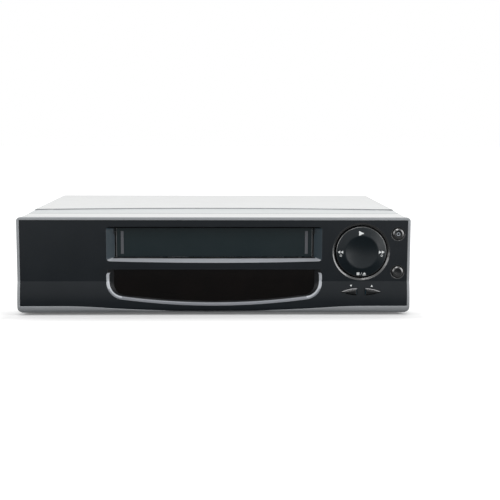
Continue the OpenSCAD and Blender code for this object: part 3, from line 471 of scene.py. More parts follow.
    def round_edges(
        self, width: float, segments: int = 3, where: Callable[[Vector], bool] | None = None, sharp: float = 28.0
    ) -> "Piece":
        """Rounds the edges that turn sharply.

        Args:
            width: How far the rounding reaches from each edge.
            segments: Strips in the rounding.
            where: Test of an edge's middle, in millimetres.
            sharp: Least angle of an edge that is rounded, in degrees.

        Returns:
            The piece.
        """
        with self.editing("EDGE") as mesh:
            self.select_edges(mesh, sharp, where)
            bpy.ops.mesh.bevel(offset=width * MM, segments=segments, affect="EDGES", clamp_overlap=False)
        return self

    def keep_crease(self, where: Callable[[Vector], bool], least: float = 5.0) -> "Piece":
        """Marks slight edges, at the places that pass the test, to stay crisp."""
        with self.editing("EDGE") as mesh:
            self.select_edges(mesh, least, where)
            bpy.ops.mesh.mark_sharp()
        return self

    def drop_faces(self, where: Callable[[Vector, Vector], bool]) -> "Piece":
        """Deletes the faces whose middle, in millimetres, and normal pass the test."""
        with self.editing("FACE") as mesh:
            for face in mesh.faces:
                face.select_set(where(face.calc_center_median() / MM, face.normal))
            bmesh.update_edit_mesh(self.obj.data)
            bpy.ops.mesh.delete(type="FACE")
        return self

    def finish(
        self,
        body: str,
        coats: Sequence["Finish"],
        slot: str,
        stands_for: Sequence[str] = (),
        where: Callable[[Vector, Vector], int] | None = None,
        smooth: float = 35.0,
    ) -> "Piece":
        """Smooths the piece, dresses it and puts it on its body.

        Args:
            body: The body that it moves with.
            coats: Its finishes.
            slot: The record's material slot; not used.
            stands_for: The CAD nodes that it replaces.
            where: Gives the number of a face's finish from its middle and its normal.
            smooth: Greatest angle that is shaded smooth, in degrees.

        Returns:
            The piece.
        """
        self.settle()
        bpy.ops.object.shade_smooth_by_angle(angle=math.radians(smooth), keep_sharp_edges=True)
        self.apply("WEIGHTED_NORMAL", keep_sharp=True, weight=60)
        mesh = self.obj.data
        mesh.materials.clear()
        for coat in coats:
            mesh.materials.append(coat.material())
        if where:
            for face in mesh.polygons:
                face.material_index = where(face.center / MM, face.normal)
        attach(self.obj, body)
        if stands_for:
            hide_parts(*stands_for)
        log.info("%s: %d faces, on %s", self.obj.name, len(mesh.polygons), body)
        return self


# Finishes ---------------------------------------------------------------------------------------


class Nodes:
    """Adds nodes to one tree, and sets or links their inputs in the same call."""

    def __init__(self, tree: bpy.types.NodeTree) -> None:
        """Keeps the tree that the nodes go into."""
        self.tree = tree

    def feed(self, node: bpy.types.Node, inputs: dict[str | int, object]) -> bpy.types.Node:
        """Links sockets and sets plain values into a node's inputs, by their names or numbers."""
        for name, value in inputs.items():
            if isinstance(value, bpy.types.NodeSocket):
                self.tree.links.new(value, node.inputs[name])
            else:
                node.inputs[name].default_value = value
        return node

    def add(self, kind: str, inputs: dict[str | int, object] | None = None, **settings: object) -> bpy.types.Node:
        """Adds one node.

        Args:
            kind: The node's type, without its ShaderNode prefix.
            inputs: Values or sockets, by the input's name or number.
            settings: The node's own settings.

        Returns:
            The node.
        """
        node = self.tree.nodes.new("ShaderNode" + kind)
        for name, value in settings.items():
            setattr(node, name, value)
        return self.feed(node, inputs or {})

    def math(self, operation: str, *values: object) -> bpy.types.NodeSocket:
        """The result of one Math node."""
        return self.add("Math", dict(enumerate(values)), operation=operation).outputs[0]

    def vector(self, operation: str, result: str, *values: object) -> bpy.types.NodeSocket:
        """The named result of one Vector Math node."""
        return self.add("VectorMath", dict(enumerate(values)), operation=operation).outputs[result]

    def weighed(self, *parts: tuple[object, float]) -> bpy.types.NodeSocket:
        """The sum of two values, each times its weight."""
        return self.math("ADD", *(self.math("MULTIPLY", *part) for part in parts))

    def greatest(self, first: object, *others: object) -> object:
        """The greatest of some values."""
        for other in others:
            first = self.math("MAXIMUM", first, other)
        return first

    def mix(self, factor: object, first: object, second: object) -> bpy.types.NodeSocket:
        """A mix of two colours."""
        return self.add("Mix", {0: factor, 6: first, 7: second}, data_type="RGBA").outputs[2]

    def remap(self, value: object, low: float, high: float, to_low: float, to_high: float) -> bpy.types.NodeSocket:
        """A value moved from one range to another."""
        return self.add("MapRange", {0: value, 1: low, 2: high, 3: to_low, 4: to_high}).outputs[0]

    def noise(self, place: object, scale: object, detail: float, rough: float = 0.5) -> bpy.types.NodeSocket:
        """The brightness of a noise texture."""
        inputs = {"Vector": place, "Scale": scale, "Detail": detail, "Roughness": rough}
        return self.add("TexNoise", inputs).outputs[0]

    def cells(self, place: object, scale: object, result: str) -> bpy.types.NodeSocket:
        """The named result of a cell texture."""
        return self.add("TexVoronoi", {"Vector": place, "Scale": scale}).outputs[result]


class Group:
    """A shader node group under construction, which takes a place on the object."""

    def __init__(self, name: str, outputs: Sequence[str], **values: float) -> None:
        """Makes the group's sockets, with the place on the object as the first input.

        Args:
            name: Name of the group.
            outputs: Names of its outputs.
            values: Its other inputs, each with its usual value.
        """
        self.tree = bpy.data.node_groups.new(name, "ShaderNodeTree")
        sockets = self.tree.interface
        sockets.new_socket("Vector", in_out="INPUT", socket_type="NodeSocketVector")
        for label, value in values.items():
            sockets.new_socket(label, in_out="INPUT", socket_type="NodeSocketFloat").default_value = value
        for label in outputs:
            sockets.new_socket(label, in_out="OUTPUT", socket_type="NodeSocketFloat")
        self.nodes = Nodes(self.tree)
        self.given = self.tree.nodes.new("NodeGroupInput").outputs
        self.result = self.tree.nodes.new("NodeGroupOutput").inputs

    def give(self, **values: bpy.types.NodeSocket) -> bpy.types.NodeTree:
        """Links the group's outputs and returns its tree."""
        for label, value in values.items():
            self.tree.links.new(value, self.result[label])
        return self.tree


class Grain(Enum):
    """Patterns that a finish can carry."""

    MOULDED = "moulded_grain"
    FLAKE = "metal_flake"
    SPANGLE = "zinc_spangle"
    LATHE = "lathe_rings"
    TRACKS = "board_tracks"

    def begin(self) -> tuple[Group, Nodes, bpy.types.NodeSocket, bpy.types.NodeSocket]:
        """Starts the pattern's group and gives it with its nodes, its place and its scale."""
        group = Group(self.value, ("Mask", "Height"), Scale=2000.0)
        return group, group.nodes, group.given["Vector"], group.given["Scale"]


def moulded_grain() -> bpy.types.NodeTree:
    """Fine pitted texture of a moulding, with a slow mottle in its colour."""
    group, nodes, place, scale = Grain.MOULDED.begin()
    fine = nodes.noise(place, scale, 3.0)
    pits = nodes.cells(place, scale, "Distance")
    speck = nodes.remap(fine, 0.35, 0.7, 0.0, 0.45)
    mottle = nodes.remap(nodes.noise(place, 28.0, 4.0, 0.6), 0.3, 0.7, 0.0, 0.55)
    return group.give(Mask=nodes.math("ADD", speck, mottle), Height=nodes.weighed((fine, 1.0), (pits, 0.6)))


def metal_flake() -> bpy.types.NodeTree:
    """Sparkle of flakes in a metallic paint, over a slight orange peel."""
    group, nodes, place, scale = Grain.FLAKE.begin()
    flake = nodes.add("SeparateColor", {0: nodes.cells(place, scale, "Color")}).outputs[0]
    slow = nodes.remap(nodes.noise(place, 16.0, 5.0, 0.55), 0.3, 0.7, 0.0, 0.5)
    peel = nodes.noise(place, 420.0, 2.0)
    return group.give(Mask=nodes.weighed((flake, 0.5), (slow, 1.0)), Height=nodes.weighed((peel, 1.0), (flake, 0.15)))


def zinc_spangle() -> bpy.types.NodeTree:
    """Crystals of a galvanised sheet, each with its own brightness."""
    group, nodes, place, scale = Grain.SPANGLE.begin()
    bend = nodes.add("TexNoise", {"Vector": place, "Scale": scale, "Detail": 2.0}).outputs[1]
    bent = nodes.vector("MULTIPLY_ADD", "Vector", bend, (0.004, 0.004, 0.004), place)
    crystal = nodes.add("SeparateColor", {0: nodes.cells(bent, scale, "Color")}).outputs[1]
    hairs = nodes.noise(place, 900.0, 4.0)
    return group.give(
        Mask=nodes.weighed((crystal, 0.7), (hairs, 0.3)), Height=nodes.weighed((hairs, 1.0), (crystal, 0.3)))


def lathe_rings() -> bpy.types.NodeTree:
    """Turning marks round an axis that stands at the pattern's centre."""
    group, nodes, place, scale = Grain.LATHE.begin()
    reach = nodes.vector("LENGTH", "Value", nodes.vector("MULTIPLY", "Vector", place, (1, 1, 0)))
    level = nodes.add("SeparateXYZ", {0: place}).outputs[2]
    ripple = nodes.math("SINE", nodes.math("MULTIPLY", nodes.math("ADD", reach, level), scale))
    rings = nodes.remap(ripple, -1, 1, 0, 1)
    rub = nodes.noise(place, 140.0, 4.0)
    return group.give(Mask=nodes.weighed((rings, 0.4), (rub, 0.6)), Height=rings)


def board_tracks() -> bpy.types.NodeTree:
    """Copper tracks under a board's lacquer."""
    group, nodes, place, scale = Grain.TRACKS.begin()
    cells = nodes.add(
        "TexVoronoi", {"Vector": place, "Scale": scale, "Randomness": 0.8}, distance="MANHATTAN", feature="F1"
    ).outputs["Distance"]
    bands = nodes.math("FRACT", nodes.math("MULTIPLY", cells, 5.0))
    tracks = nodes.remap(bands, 0.42, 0.5, 0.0, 0.8)
    weave = nodes.noise(place, 1500.0, 2.0)
    return group.give(Mask=nodes.weighed((tracks, 1.0), (weave, 0.2)), Height=tracks)


def edge_wear() -> bpy.types.NodeTree:
    """Mask of the edges that handling has polished, broken up by noise."""
    group = Group("edge_wear", ["Mask"], Width=0.0006, Amount=0.5)
    nodes = group.nodes
    soft = nodes.add("Bevel", {"Radius": group.given["Width"]}, samples=4).outputs[0]
    agree = nodes.vector("DOT_PRODUCT", "Value", soft, nodes.add("NewGeometry").outputs["Normal"])
    edge = nodes.remap(agree, 0.995, 0.9, 0.0, 1.0)
    rub = nodes.remap(nodes.noise(group.given["Vector"], 90.0, 5.0), 0.35, 0.6, 0.25, 1.0)
    worn = nodes.math("MULTIPLY", edge, rub)
    return group.give(Mask=nodes.math("MULTIPLY", worn, group.given["Amount"]))


def settled_dust() -> bpy.types.NodeTree:
    """Mask of fine dust that has settled on what faces up, and of a few specks elsewhere."""
    group = Group("settled_dust", ["Mask"], Amount=0.2)
    nodes, place = group.nodes, group.given["Vector"]
    upward = nodes.add("SeparateXYZ", {0: nodes.add("NewGeometry").outputs["Normal"]}).outputs[2]
    cloud = nodes.remap(nodes.noise(place, 45.0, 6.0), 0.4, 0.7, 0.0, 1.0)
    lying = nodes.math("MULTIPLY", nodes.remap(upward, 0.3, 1.0, 0.0, 1.0), cloud)
    loose = nodes.remap(nodes.cells(place, 330.0, "Distance"), 0.09, 0.05, 0.0, 0.5)
    return group.give(Mask=nodes.math("MULTIPLY", nodes.greatest(lying, loose), group.given["Amount"]))


PATTERNS = (moulded_grain, metal_flake, zinc_spangle, lathe_rings, board_tracks, edge_wear, settled_dust)
GROUPS = {tree.name: tree for tree in (build() for build in PATTERNS)}


@dataclass(frozen=True)
class Finish:
    """One surface of the object, as a procedural material."""

    name: str
    colour: Colour
    second: Colour
    grain: Grain = Grain.MOULDED
    scale: float = 2000.0
    rough: Pair = (0.4, 0.5)
    metal: float = 0.0
    gloss: float = 0.5
    coat: float = 0.0
    relief: float = 0.15
    worn: Colour = (0.3, 0.3, 0.3)
    wear: float = 0.25
    dust: float = 0.06
    clear: float = 0.0
    centre: Triple = (0, 0, 0)

    def material(self) -> bpy.types.Material:
        """Builds the material the first time, and returns the same one after that."""
        if self.name in bpy.data.materials:
            return bpy.data.materials[self.name]
        made = bpy.data.materials.new(self.name)
        made.use_nodes = True
        made.node_tree.nodes.clear()
        nodes = Nodes(made.node_tree)
        spot = nodes.add("TexCoord").outputs["Object"]
        shift = tuple(-value * MM for value in self.centre)
        place = nodes.add("Mapping", {"Vector": spot, "Location": shift}).outputs[0]
        grain = nodes.add("Group", {"Vector": place, "Scale": self.scale}, node_tree=GROUPS[self.grain.value])
        wear, dust = (
            nodes.add("Group", {"Vector": place, "Amount": amount}, node_tree=GROUPS[name]).outputs[0]
            for name, amount in (("edge_wear", self.wear), ("settled_dust", self.dust)))
        mask = grain.outputs["Mask"]
        base = nodes.mix(mask, (*self.colour, 1), (*self.second, 1))
        base = nodes.mix(wear, base, (*self.worn, 1))
        bump = nodes.add("Bump", {"Height": grain.outputs["Height"], "Strength": self.relief, "Distance": BUMP_DEPTH})
        shader = nodes.add("BsdfPrincipled", {
            "Base Color": nodes.mix(dust, base, DUST_GREY),
            "Roughness": nodes.weighed((nodes.remap(mask, 0.0, 1.0, *self.rough), 1.0), (dust, 0.5)),
            "Normal": bump.outputs[0], "Metallic": self.metal, "Specular IOR Level": self.gloss,
            "Coat Weight": self.coat, "Coat Roughness": COAT_ROUGHNESS, "Transmission Weight": self.clear,
        })
        nodes.add("OutputMaterial", {0: shader.outputs[0]})
        return made


BEZEL_SILVER = Finish("bezel_silver", (0.27, 0.285, 0.3), (0.33, 0.345, 0.36), Grain.FLAKE, 3200, (0.34, 0.44),
                      metal=0.25, worn=(0.5, 0.51, 0.52), dust=0.03)
COVER_PAINT = Finish("cover_paint", (0.68, 0.69, 0.69), (0.74, 0.75, 0.745), Grain.FLAKE, 2400, (0.3, 0.4),
                     worn=(0.7, 0.7, 0.69), dust=0.05)
# Painted shade: a slightly darker copy of the cover paint for the rise between the groove and the step.
COVER_BAND_SHADE = Finish("cover_paint_band_shade", (0.6, 0.625, 0.63), (0.66, 0.685, 0.69), Grain.FLAKE, 2400, (0.4, 0.5),
                    worn=(0.6, 0.6, 0.6), dust=0.05)
# Painted shade: a dark copy of the cover paint for the step's riser and the groove's slopes.
COVER_STEP_SHADE = Finish("cover_paint_step_shade", (0.2, 0.21, 0.22), (0.26, 0.27, 0.28), Grain.FLAKE, 2400, (0.4, 0.5),
                    worn=(0.6, 0.6, 0.6), dust=0.05)
FASCIA_BLACK = Finish("fascia_black", (0.004, 0.0066, 0.0093), (0.0068, 0.0099, 0.013), Grain.MOULDED, 2600,
                      (0.3, 0.38), gloss=0.32, worn=(0.1, 0.105, 0.11), dust=0.05)
LIP_GREY = Finish("lip_gunmetal", (0.16, 0.17, 0.19), (0.21, 0.22, 0.24), Grain.FLAKE, 3000, (0.3, 0.4),
                  metal=0.3, worn=(0.5, 0.52, 0.55), dust=0.03)
# Painted highlight: a lighter copy of the lip's silver for the window's arms and the mouth's upward floor.
LIP_HIGHLIGHT = Finish("lip_painted_highlight", (0.38, 0.4, 0.43), (0.45, 0.47, 0.5), Grain.FLAKE, 3000, (0.38, 0.46),
                    metal=0.25, worn=(0.6, 0.62, 0.65), dust=0.02)
EDGE_GLOSS = Finish("glossy_edge", (0.012, 0.013, 0.014), (0.018, 0.019, 0.02), Grain.MOULDED, 2600, (0.16, 0.24),
                    gloss=1.0, coat=1.0, worn=(0.2, 0.2, 0.21), dust=0.03)
# Painted highlight: lighter grey on the rounded edges at the flap's ends.
FLAP_EDGE_HIGHLIGHT = Finish("flap_edge_highlight", (0.2, 0.21, 0.215), (0.25, 0.26, 0.265), Grain.MOULDED, 2600, (0.3, 0.4),
                   worn=(0.2, 0.21, 0.22), dust=0.03)
# Painted highlight: light grey on the upward faces of the channel rocker's leaves.
WING_HIGHLIGHT = Finish("wing_painted_highlight", (0.3, 0.3, 0.31), (0.37, 0.37, 0.38), Grain.FLAKE, 3000, (0.25, 0.35),
                   metal=0.2, worn=(0.4, 0.4, 0.41), dust=0.03)
# Black of the walls inside the fascia's openings, used also as painted shade on the mouth's downward top and on a
# band of its floor before the slot.
WALL_BLACK_AND_SHADE = Finish("wall_black_and_painted_shade", (0.006, 0.0068, 0.0078), (0.009, 0.01, 0.011), Grain.MOULDED, 2200, (0.4, 0.5),
                    gloss=0.2, worn=(0.05, 0.055, 0.06), dust=0.04)
FUNNEL_GREY = Finish("funnel_grey", (0.0065, 0.02, 0.0295), (0.0125, 0.0275, 0.0375), Grain.MOULDED, 2400,
                     (0.28, 0.36), worn=(0.2, 0.21, 0.22), dust=0.05)
FLAP_BLACK = Finish("flap_black", (0.005, 0.0133, 0.0162), (0.009, 0.0173, 0.0202), Grain.MOULDED, 2200,
                    (0.34, 0.42), gloss=0.3, worn=(0.1, 0.11, 0.12), dust=0.06)
BAR_GREY = Finish("flap_bar_grey", (0.07, 0.075, 0.085), (0.09, 0.095, 0.105), Grain.FLAKE, 2600, (0.35, 0.45),
                  worn=(0.3, 0.3, 0.32))
DIAL_BLACK = Finish("dial_black", (0.0015, 0.0048, 0.0072), (0.004, 0.0085, 0.0115), Grain.MOULDED, 2800,
                    (0.26, 0.34), gloss=0.4, worn=(0.16, 0.165, 0.17), dust=0.07)
KEY_BLACK = Finish("key_black", (0.008, 0.009, 0.01), (0.011, 0.012, 0.013), Grain.MOULDED, 3000, (0.16, 0.24),
                   gloss=0.5, worn=(0.2, 0.2, 0.2), dust=0.04)
PRINT_WHITE = Finish("print_white", (0.6, 0.62, 0.62), (0.72, 0.74, 0.74), Grain.MOULDED, 3000, (0.5, 0.6),
                     gloss=0.3, wear=0.0, dust=0.02)
PRINT_GREY = Finish("print_grey", (0.25, 0.28, 0.31), (0.32, 0.35, 0.38), Grain.MOULDED, 3000, (0.45, 0.55),
                    gloss=0.3, wear=0.0, dust=0.02)
SMOKED = Finish("smoked_window", (0.0032, 0.0028, 0.0028), (0.006, 0.0045, 0.004), Grain.MOULDED, 60, (0.03, 0.07),
                gloss=0.25, relief=0.01, worn=(0.03, 0.025, 0.025), dust=0.02, clear=0.3)
RUBBER = Finish("black_rubber", (0.014, 0.014, 0.015), (0.024, 0.024, 0.025), Grain.MOULDED, 900, (0.65, 0.8),
                gloss=0.3, relief=0.4, worn=(0.06, 0.06, 0.06), dust=0.15)
ZINC = Finish("zinc_steel", (0.42, 0.43, 0.43), (0.58, 0.59, 0.58), Grain.SPANGLE, 170, (0.32, 0.5), metal=0.85,
              worn=(0.65, 0.65, 0.64), dust=0.1)
BASKET_STEEL = Finish("blackened_steel", (0.012, 0.012, 0.013), (0.022, 0.022, 0.023), Grain.SPANGLE, 240,
                      (0.4, 0.55), metal=0.2, worn=(0.15, 0.15, 0.15), dust=0.1)
DARK_STEEL = Finish("rear_panel_black", (0.02, 0.021, 0.022), (0.03, 0.031, 0.032), Grain.MOULDED, 1600, (0.45, 0.6),
                    worn=(0.2, 0.2, 0.2), dust=0.12)
SOCKET_BLACK = Finish("socket_black", (0.012, 0.012, 0.013), (0.02, 0.02, 0.021), Grain.MOULDED, 2000, (0.35, 0.5),
                      worn=(0.1, 0.1, 0.1))
NICKEL = Finish("bright_nickel", (0.6, 0.59, 0.56), (0.7, 0.69, 0.66), Grain.FLAKE, 2000, (0.16, 0.3), metal=1.0,
                worn=(0.8, 0.79, 0.76))
SCREW_STEEL = Finish("screw_steel", (0.09, 0.09, 0.095), (0.15, 0.15, 0.155), Grain.FLAKE, 2500, (0.3, 0.45),
                     metal=0.9, worn=(0.5, 0.5, 0.5))
BRASS = Finish("sintered_brass", (0.55, 0.4, 0.16), (0.65, 0.5, 0.22), Grain.FLAKE, 2500, (0.3, 0.45), metal=0.9,
               worn=(0.75, 0.62, 0.35))
BOARD_GREEN = Finish("board_green", (0.02, 0.1, 0.04), (0.07, 0.2, 0.08), Grain.TRACKS, 130, (0.3, 0.42), coat=0.3,
                     worn=(0.3, 0.3, 0.15), dust=0.12)
BOARD_DARK = Finish("board_dark", (0.006, 0.0065, 0.007), (0.014, 0.015, 0.016), Grain.TRACKS, 130, (0.4, 0.5),
                    worn=(0.05, 0.05, 0.05), dust=0.05)
BOARD_BROWN = Finish("board_brown", (0.25, 0.14, 0.05), (0.36, 0.22, 0.09), Grain.TRACKS, 110, (0.45, 0.6),
                     worn=(0.45, 0.35, 0.2), dust=0.15)
CHIP_BLACK = Finish("chip_black", (0.018, 0.018, 0.02), (0.03, 0.03, 0.032), Grain.MOULDED, 1500, (0.5, 0.6),
                    worn=(0.15, 0.15, 0.15), dust=0.15)
SLEEVE_BLUE = Finish("sleeve_blue", (0.02, 0.035, 0.12), (0.03, 0.05, 0.16), Grain.MOULDED, 1200, (0.25, 0.35),
                     worn=(0.3, 0.32, 0.4), dust=0.12)
CORE_STEEL = Finish("core_steel", (0.12, 0.11, 0.1), (0.22, 0.2, 0.18), Grain.SPANGLE, 320, (0.45, 0.65), metal=0.6,
                    worn=(0.4, 0.38, 0.35), dust=0.12)
NYLON = Finish("white_nylon", (0.62, 0.6, 0.52), (0.72, 0.7, 0.62), Grain.MOULDED, 1200, (0.38, 0.5),
               worn=(0.8, 0.78, 0.72))
ALLOY = Finish("satin_alloy", (0.55, 0.56, 0.57), (0.66, 0.67, 0.68), Grain.FLAKE, 1500, (0.28, 0.42), metal=0.9,
               worn=(0.8, 0.8, 0.8))
DRUM_ALLOY = Finish("turned_drum_alloy", (0.6, 0.6, 0.59), (0.75, 0.75, 0.74), Grain.LATHE, 9000, (0.12, 0.24),
                    metal=1.0, centre=(0, 36, 0))
WHEEL_ALLOY = Finish("turned_wheel_alloy", (0.42, 0.42, 0.43), (0.55, 0.55, 0.56), Grain.LATHE, 7000, (0.22, 0.36),
                     metal=1.0, centre=(66, 6, 0))
TUBE_GLASS = Finish("display_glass", (0.03, 0.06, 0.055), (0.06, 0.1, 0.09), Grain.TRACKS, 260, (0.08, 0.14),
                    coat=0.5, worn=(0.1, 0.14, 0.13))


# Sub-assemblies ---------------------------------------------------------------------------------


@dataclass
class Cover:
    """The folded steel cover, with its pressed step, cooling slots and screws."""

    half_width: float = 188.0
    front: float = -134.2
    back: float = 138.0
    low: float = 5.0
    deck: float = 94.0
    step_foot: float = 94.6
    rear_deck: float = 95.8
    bend: float = 3.0
    sheet: float = 0.9
    ramp_y: float = -84.0
    step_mid: float = -37.0
    step_radius: float = 1080.0
    step_round: float = 0.45
    groove: Pair = (2.6, 0.35)
    screw_places: tuple[float, ...] = (-70.0, 84.0)
    screw_level: float = 14.0
    screw_crown: float = 1.7
    rear_screws: tuple[float, ...] = (-150.0, 0.0, 150.0)
    rear_level: float = 89.0
    slot_start: float = 20.0
    slot_size: Pair = (3.0, 12.0)
    slot_pitch: Pair = (8.0, 18.0)
    slot_low: float = 44.0
    slot_count: int = 12
    fold: float = 7.0
    fold_start: float = 17.8
    rear_fold: float = 5.0
    rear_gap: float = 4.0

    @property
    def bow_y(self) -> float:
        """Depth y of the middle of the bow that the step follows."""
        return self.step_mid - self.step_radius

    def on_step(self, place: Vector) -> bool:
        """Whether a place lies on the pressed step, clear of the rounded sides."""
        away = math.hypot(place.x, place.y - self.bow_y) - self.step_radius
        return abs(away) < 0.3 and place.z > self.deck and abs(place.x) < self.half_width - self.bend - 0.2

    def finish_of(self, place: Vector, normal: Vector) -> int:
        """Which finish a face takes: 1 the painted shade of the step and the groove's slopes, 2 the lighter painted
        shade of the rise ahead of the step, 0 the rest.
        """
        if abs(place.x) > self.half_width - self.bend or not self.deck - 0.4 < place.z < self.rear_deck - 0.2:
            return 0
        if place.z < self.deck + 0.05:
            return 1 if normal.z > 0.5 and abs(normal.y) > 0.2 else 0
        return 1 if normal.y < -0.5 else 2 if normal.z > 0.9 and place.z < self.step_foot + 0.05 else 0

    def sheet_metal(self) -> Piece:
        """The cover: a solid block given its step, then hollowed to a sheet and slotted."""
        w, r = self.half_width, self.bend
        corner = arc((w - r, self.rear_deck - r), r, 0, 90, 6)
        outline = [(w, self.low), *corner, *[(-x, z) for x, z in reversed(corner)], (-w, self.low)]
        cover = Piece.upright("cover_sheet", outline, self.front, self.back - self.front)
        ahead, above = self.front - 5, self.rear_deck + 10
        reach = self.step_mid + 2
        width, deep = self.groove
        ramp = [(ahead, self.deck), (self.ramp_y - width, self.deck), (self.ramp_y - width / 2, self.deck - deep),
                (self.ramp_y, self.deck), (reach, self.step_foot), (reach, above), (ahead, above)]
        lowered = Piece.sideways("lowered", ramp, FAR)
        bow = Piece.rod("bow", self.step_radius, (0, self.bow_y, 80), (0, self.bow_y, 120), 360)
        cover.carve(lowered.carve(bow, Join.KEEP))
        cover.round_edges(self.step_round, 3, self.on_step)
        cover.drop_faces(lambda place, normal: normal.z < -0.9 or abs(normal.y) > 0.9 and (
            abs(place.y - self.front) < 0.1 or abs(place.y - self.back) < 0.1))
        cover.apply("SOLIDIFY", thickness=self.sheet * MM, offset=-1.0)
        return cover.carve(self.slots())

    def slots(self) -> Piece:
        """Two rows of upright cooling slots low on each side, as one cutter."""
        (wide, tall), (along, up) = self.slot_size, self.slot_pitch
        low = (self.half_width - 2, self.slot_start, self.slot_low)
        first = Piece.block("slot", low, (self.half_width + 2, self.slot_start + wide, self.slot_low + tall))
        first.round_edges(1.2, 3, lambda place: abs(place.x - self.half_width) < 0.5)
        return first.repeated("slot", [
            Matrix.Translation((side, along * number, up * row))
            for side in (0, -2 * self.half_width)
            for row in (0, 1)
            for number in range(self.slot_count)
        ])

    def flanges(self) -> list[Piece]:
        """Strips folded in along the bottom, and down at the back."""
        w, t = self.half_width, self.sheet
        start = (w - self.fold, self.front + self.fold_start, self.low)
        strip = Piece.block("fold", start, (w - t / 2, self.back, self.low + t))
        half, level = w - self.rear_gap, self.rear_level - self.rear_fold
        back = Piece.block("fold", (-half, self.back - t, level), (half, self.back, self.rear_deck - t / 2))
        return [strip, strip.mirrored("fold"), back]

    def screw(self) -> Piece:
        """One pan-head screw with a cross recess, whose head faces the front."""
        dome = [(r, z + 0.7 - self.screw_crown) for r, z in arc((0, 3.2), 3.9, 270, 330, 6)[1:-1]]
        profile = [(0, -self.screw_crown), *dome, (3.2, -0.6), (3.2, 0), (1.4, 0), (1.4, 6.6), (1.0, 7), (0, 7)]
        head = Piece.turned("screw", profile, (0, 0), 32)
        for turn in (0, 90):
            blade = Piece.block("blade", (-1.9, -3, -0.35), (1.9, -0.9, 0.35))
            head.carve(blade.moved("blade", Matrix.Rotation(math.radians(turn), 4, "Y")))
            blade.discard()
        return head

    def make(self) -> None:
        """Builds the cover and the seven screws in it."""
        cover = self.sheet_metal()
        for strip in self.flanges():
            cover.carve(strip, Join.ADD)
        # The second and third coats are painted shade on the pressed step, the groove and the rise between them.
        coats = [COVER_PAINT, COVER_STEP_SHADE, COVER_BAND_SHADE]
        cover.finish("housing", coats, "top_cover", ["top_cover"], self.finish_of)
        places = [
            Matrix.Translation((side * self.half_width, y, self.screw_level))
            @ Matrix.Rotation(math.radians(90 * side), 4, "Z")
            for side in (1, -1)
            for y in self.screw_places
        ]
        places += [
            Matrix.Translation((x, self.back, self.rear_level)) @ Matrix.Rotation(math.pi, 4, "Z")
            for x in self.rear_screws
        ]
        screws = self.screw().repeated("cover_screw_set", places)
        screws.finish("housing", [SCREW_STEEL], "cover_screws", ["cover_screws"])


@dataclass
class Bezel:
    """The silver frame round the black fascia, with its rolled chin."""

    shape: FrontShape = SHAPE
    skirt: float = 186.6
    lip_back: float = -134.4
    top_rebate: float = 92.6
    corner_low: float = 6.0
    corner_high: float = 3.5
    side_wall: float = 2.0
    front_wall: float = 6.0
    floor_wall: float = 2.5
    hollow_top: float = 90.0
    edge_round: float = 0.5

    def make(self) -> None:
        """Extrudes the side profile, trims its corners and cuts out the middle."""
        s, w = self.shape, self.shape.half_width
        behind = s.ahead + s.through
        profile = [*s.profile(), (s.back, s.chin_level), (s.back, s.height)]
        frame_piece = Piece.sideways("front_frame", profile, w)
        outer = soft_rect((-w, s.chin_level), (w, s.height), self.corner_low, self.corner_high, 8)
        frame_piece.carve(Piece.upright("outer", outer, s.ahead, s.through), Join.KEEP)
        frame_piece.carve(Piece.upright("seat", s.fascia_outline(), s.ahead, s.through))
        half = self.skirt - self.side_wall
        low = (-half, s.face + self.front_wall, s.chin_level + self.floor_wall)
        frame_piece.carve(Piece.block("hollow", low, (half, behind, self.hollow_top)))
        for side in (1, -1):
            ends = sorted((side * self.skirt, side * FAR))
            frame_piece.carve(Piece.block("rebate", (ends[0], self.lip_back, -FAR), (ends[1], behind, FAR)))
        frame_piece.carve(Piece.block("rebate", (-FAR, self.lip_back, self.top_rebate), (FAR, behind, FAR)))
        front = s.face + 2.5
        frame_piece.round_edges(self.edge_round, 3, lambda place: place.y < front)
        frame_piece.keep_crease(lambda place: abs(place.z - s.crease) < 0.3 and place.y < front)
        frame_piece.finish("housing", [BEZEL_SILVER], "front_bezel", ["front_bezel"], smooth=24)


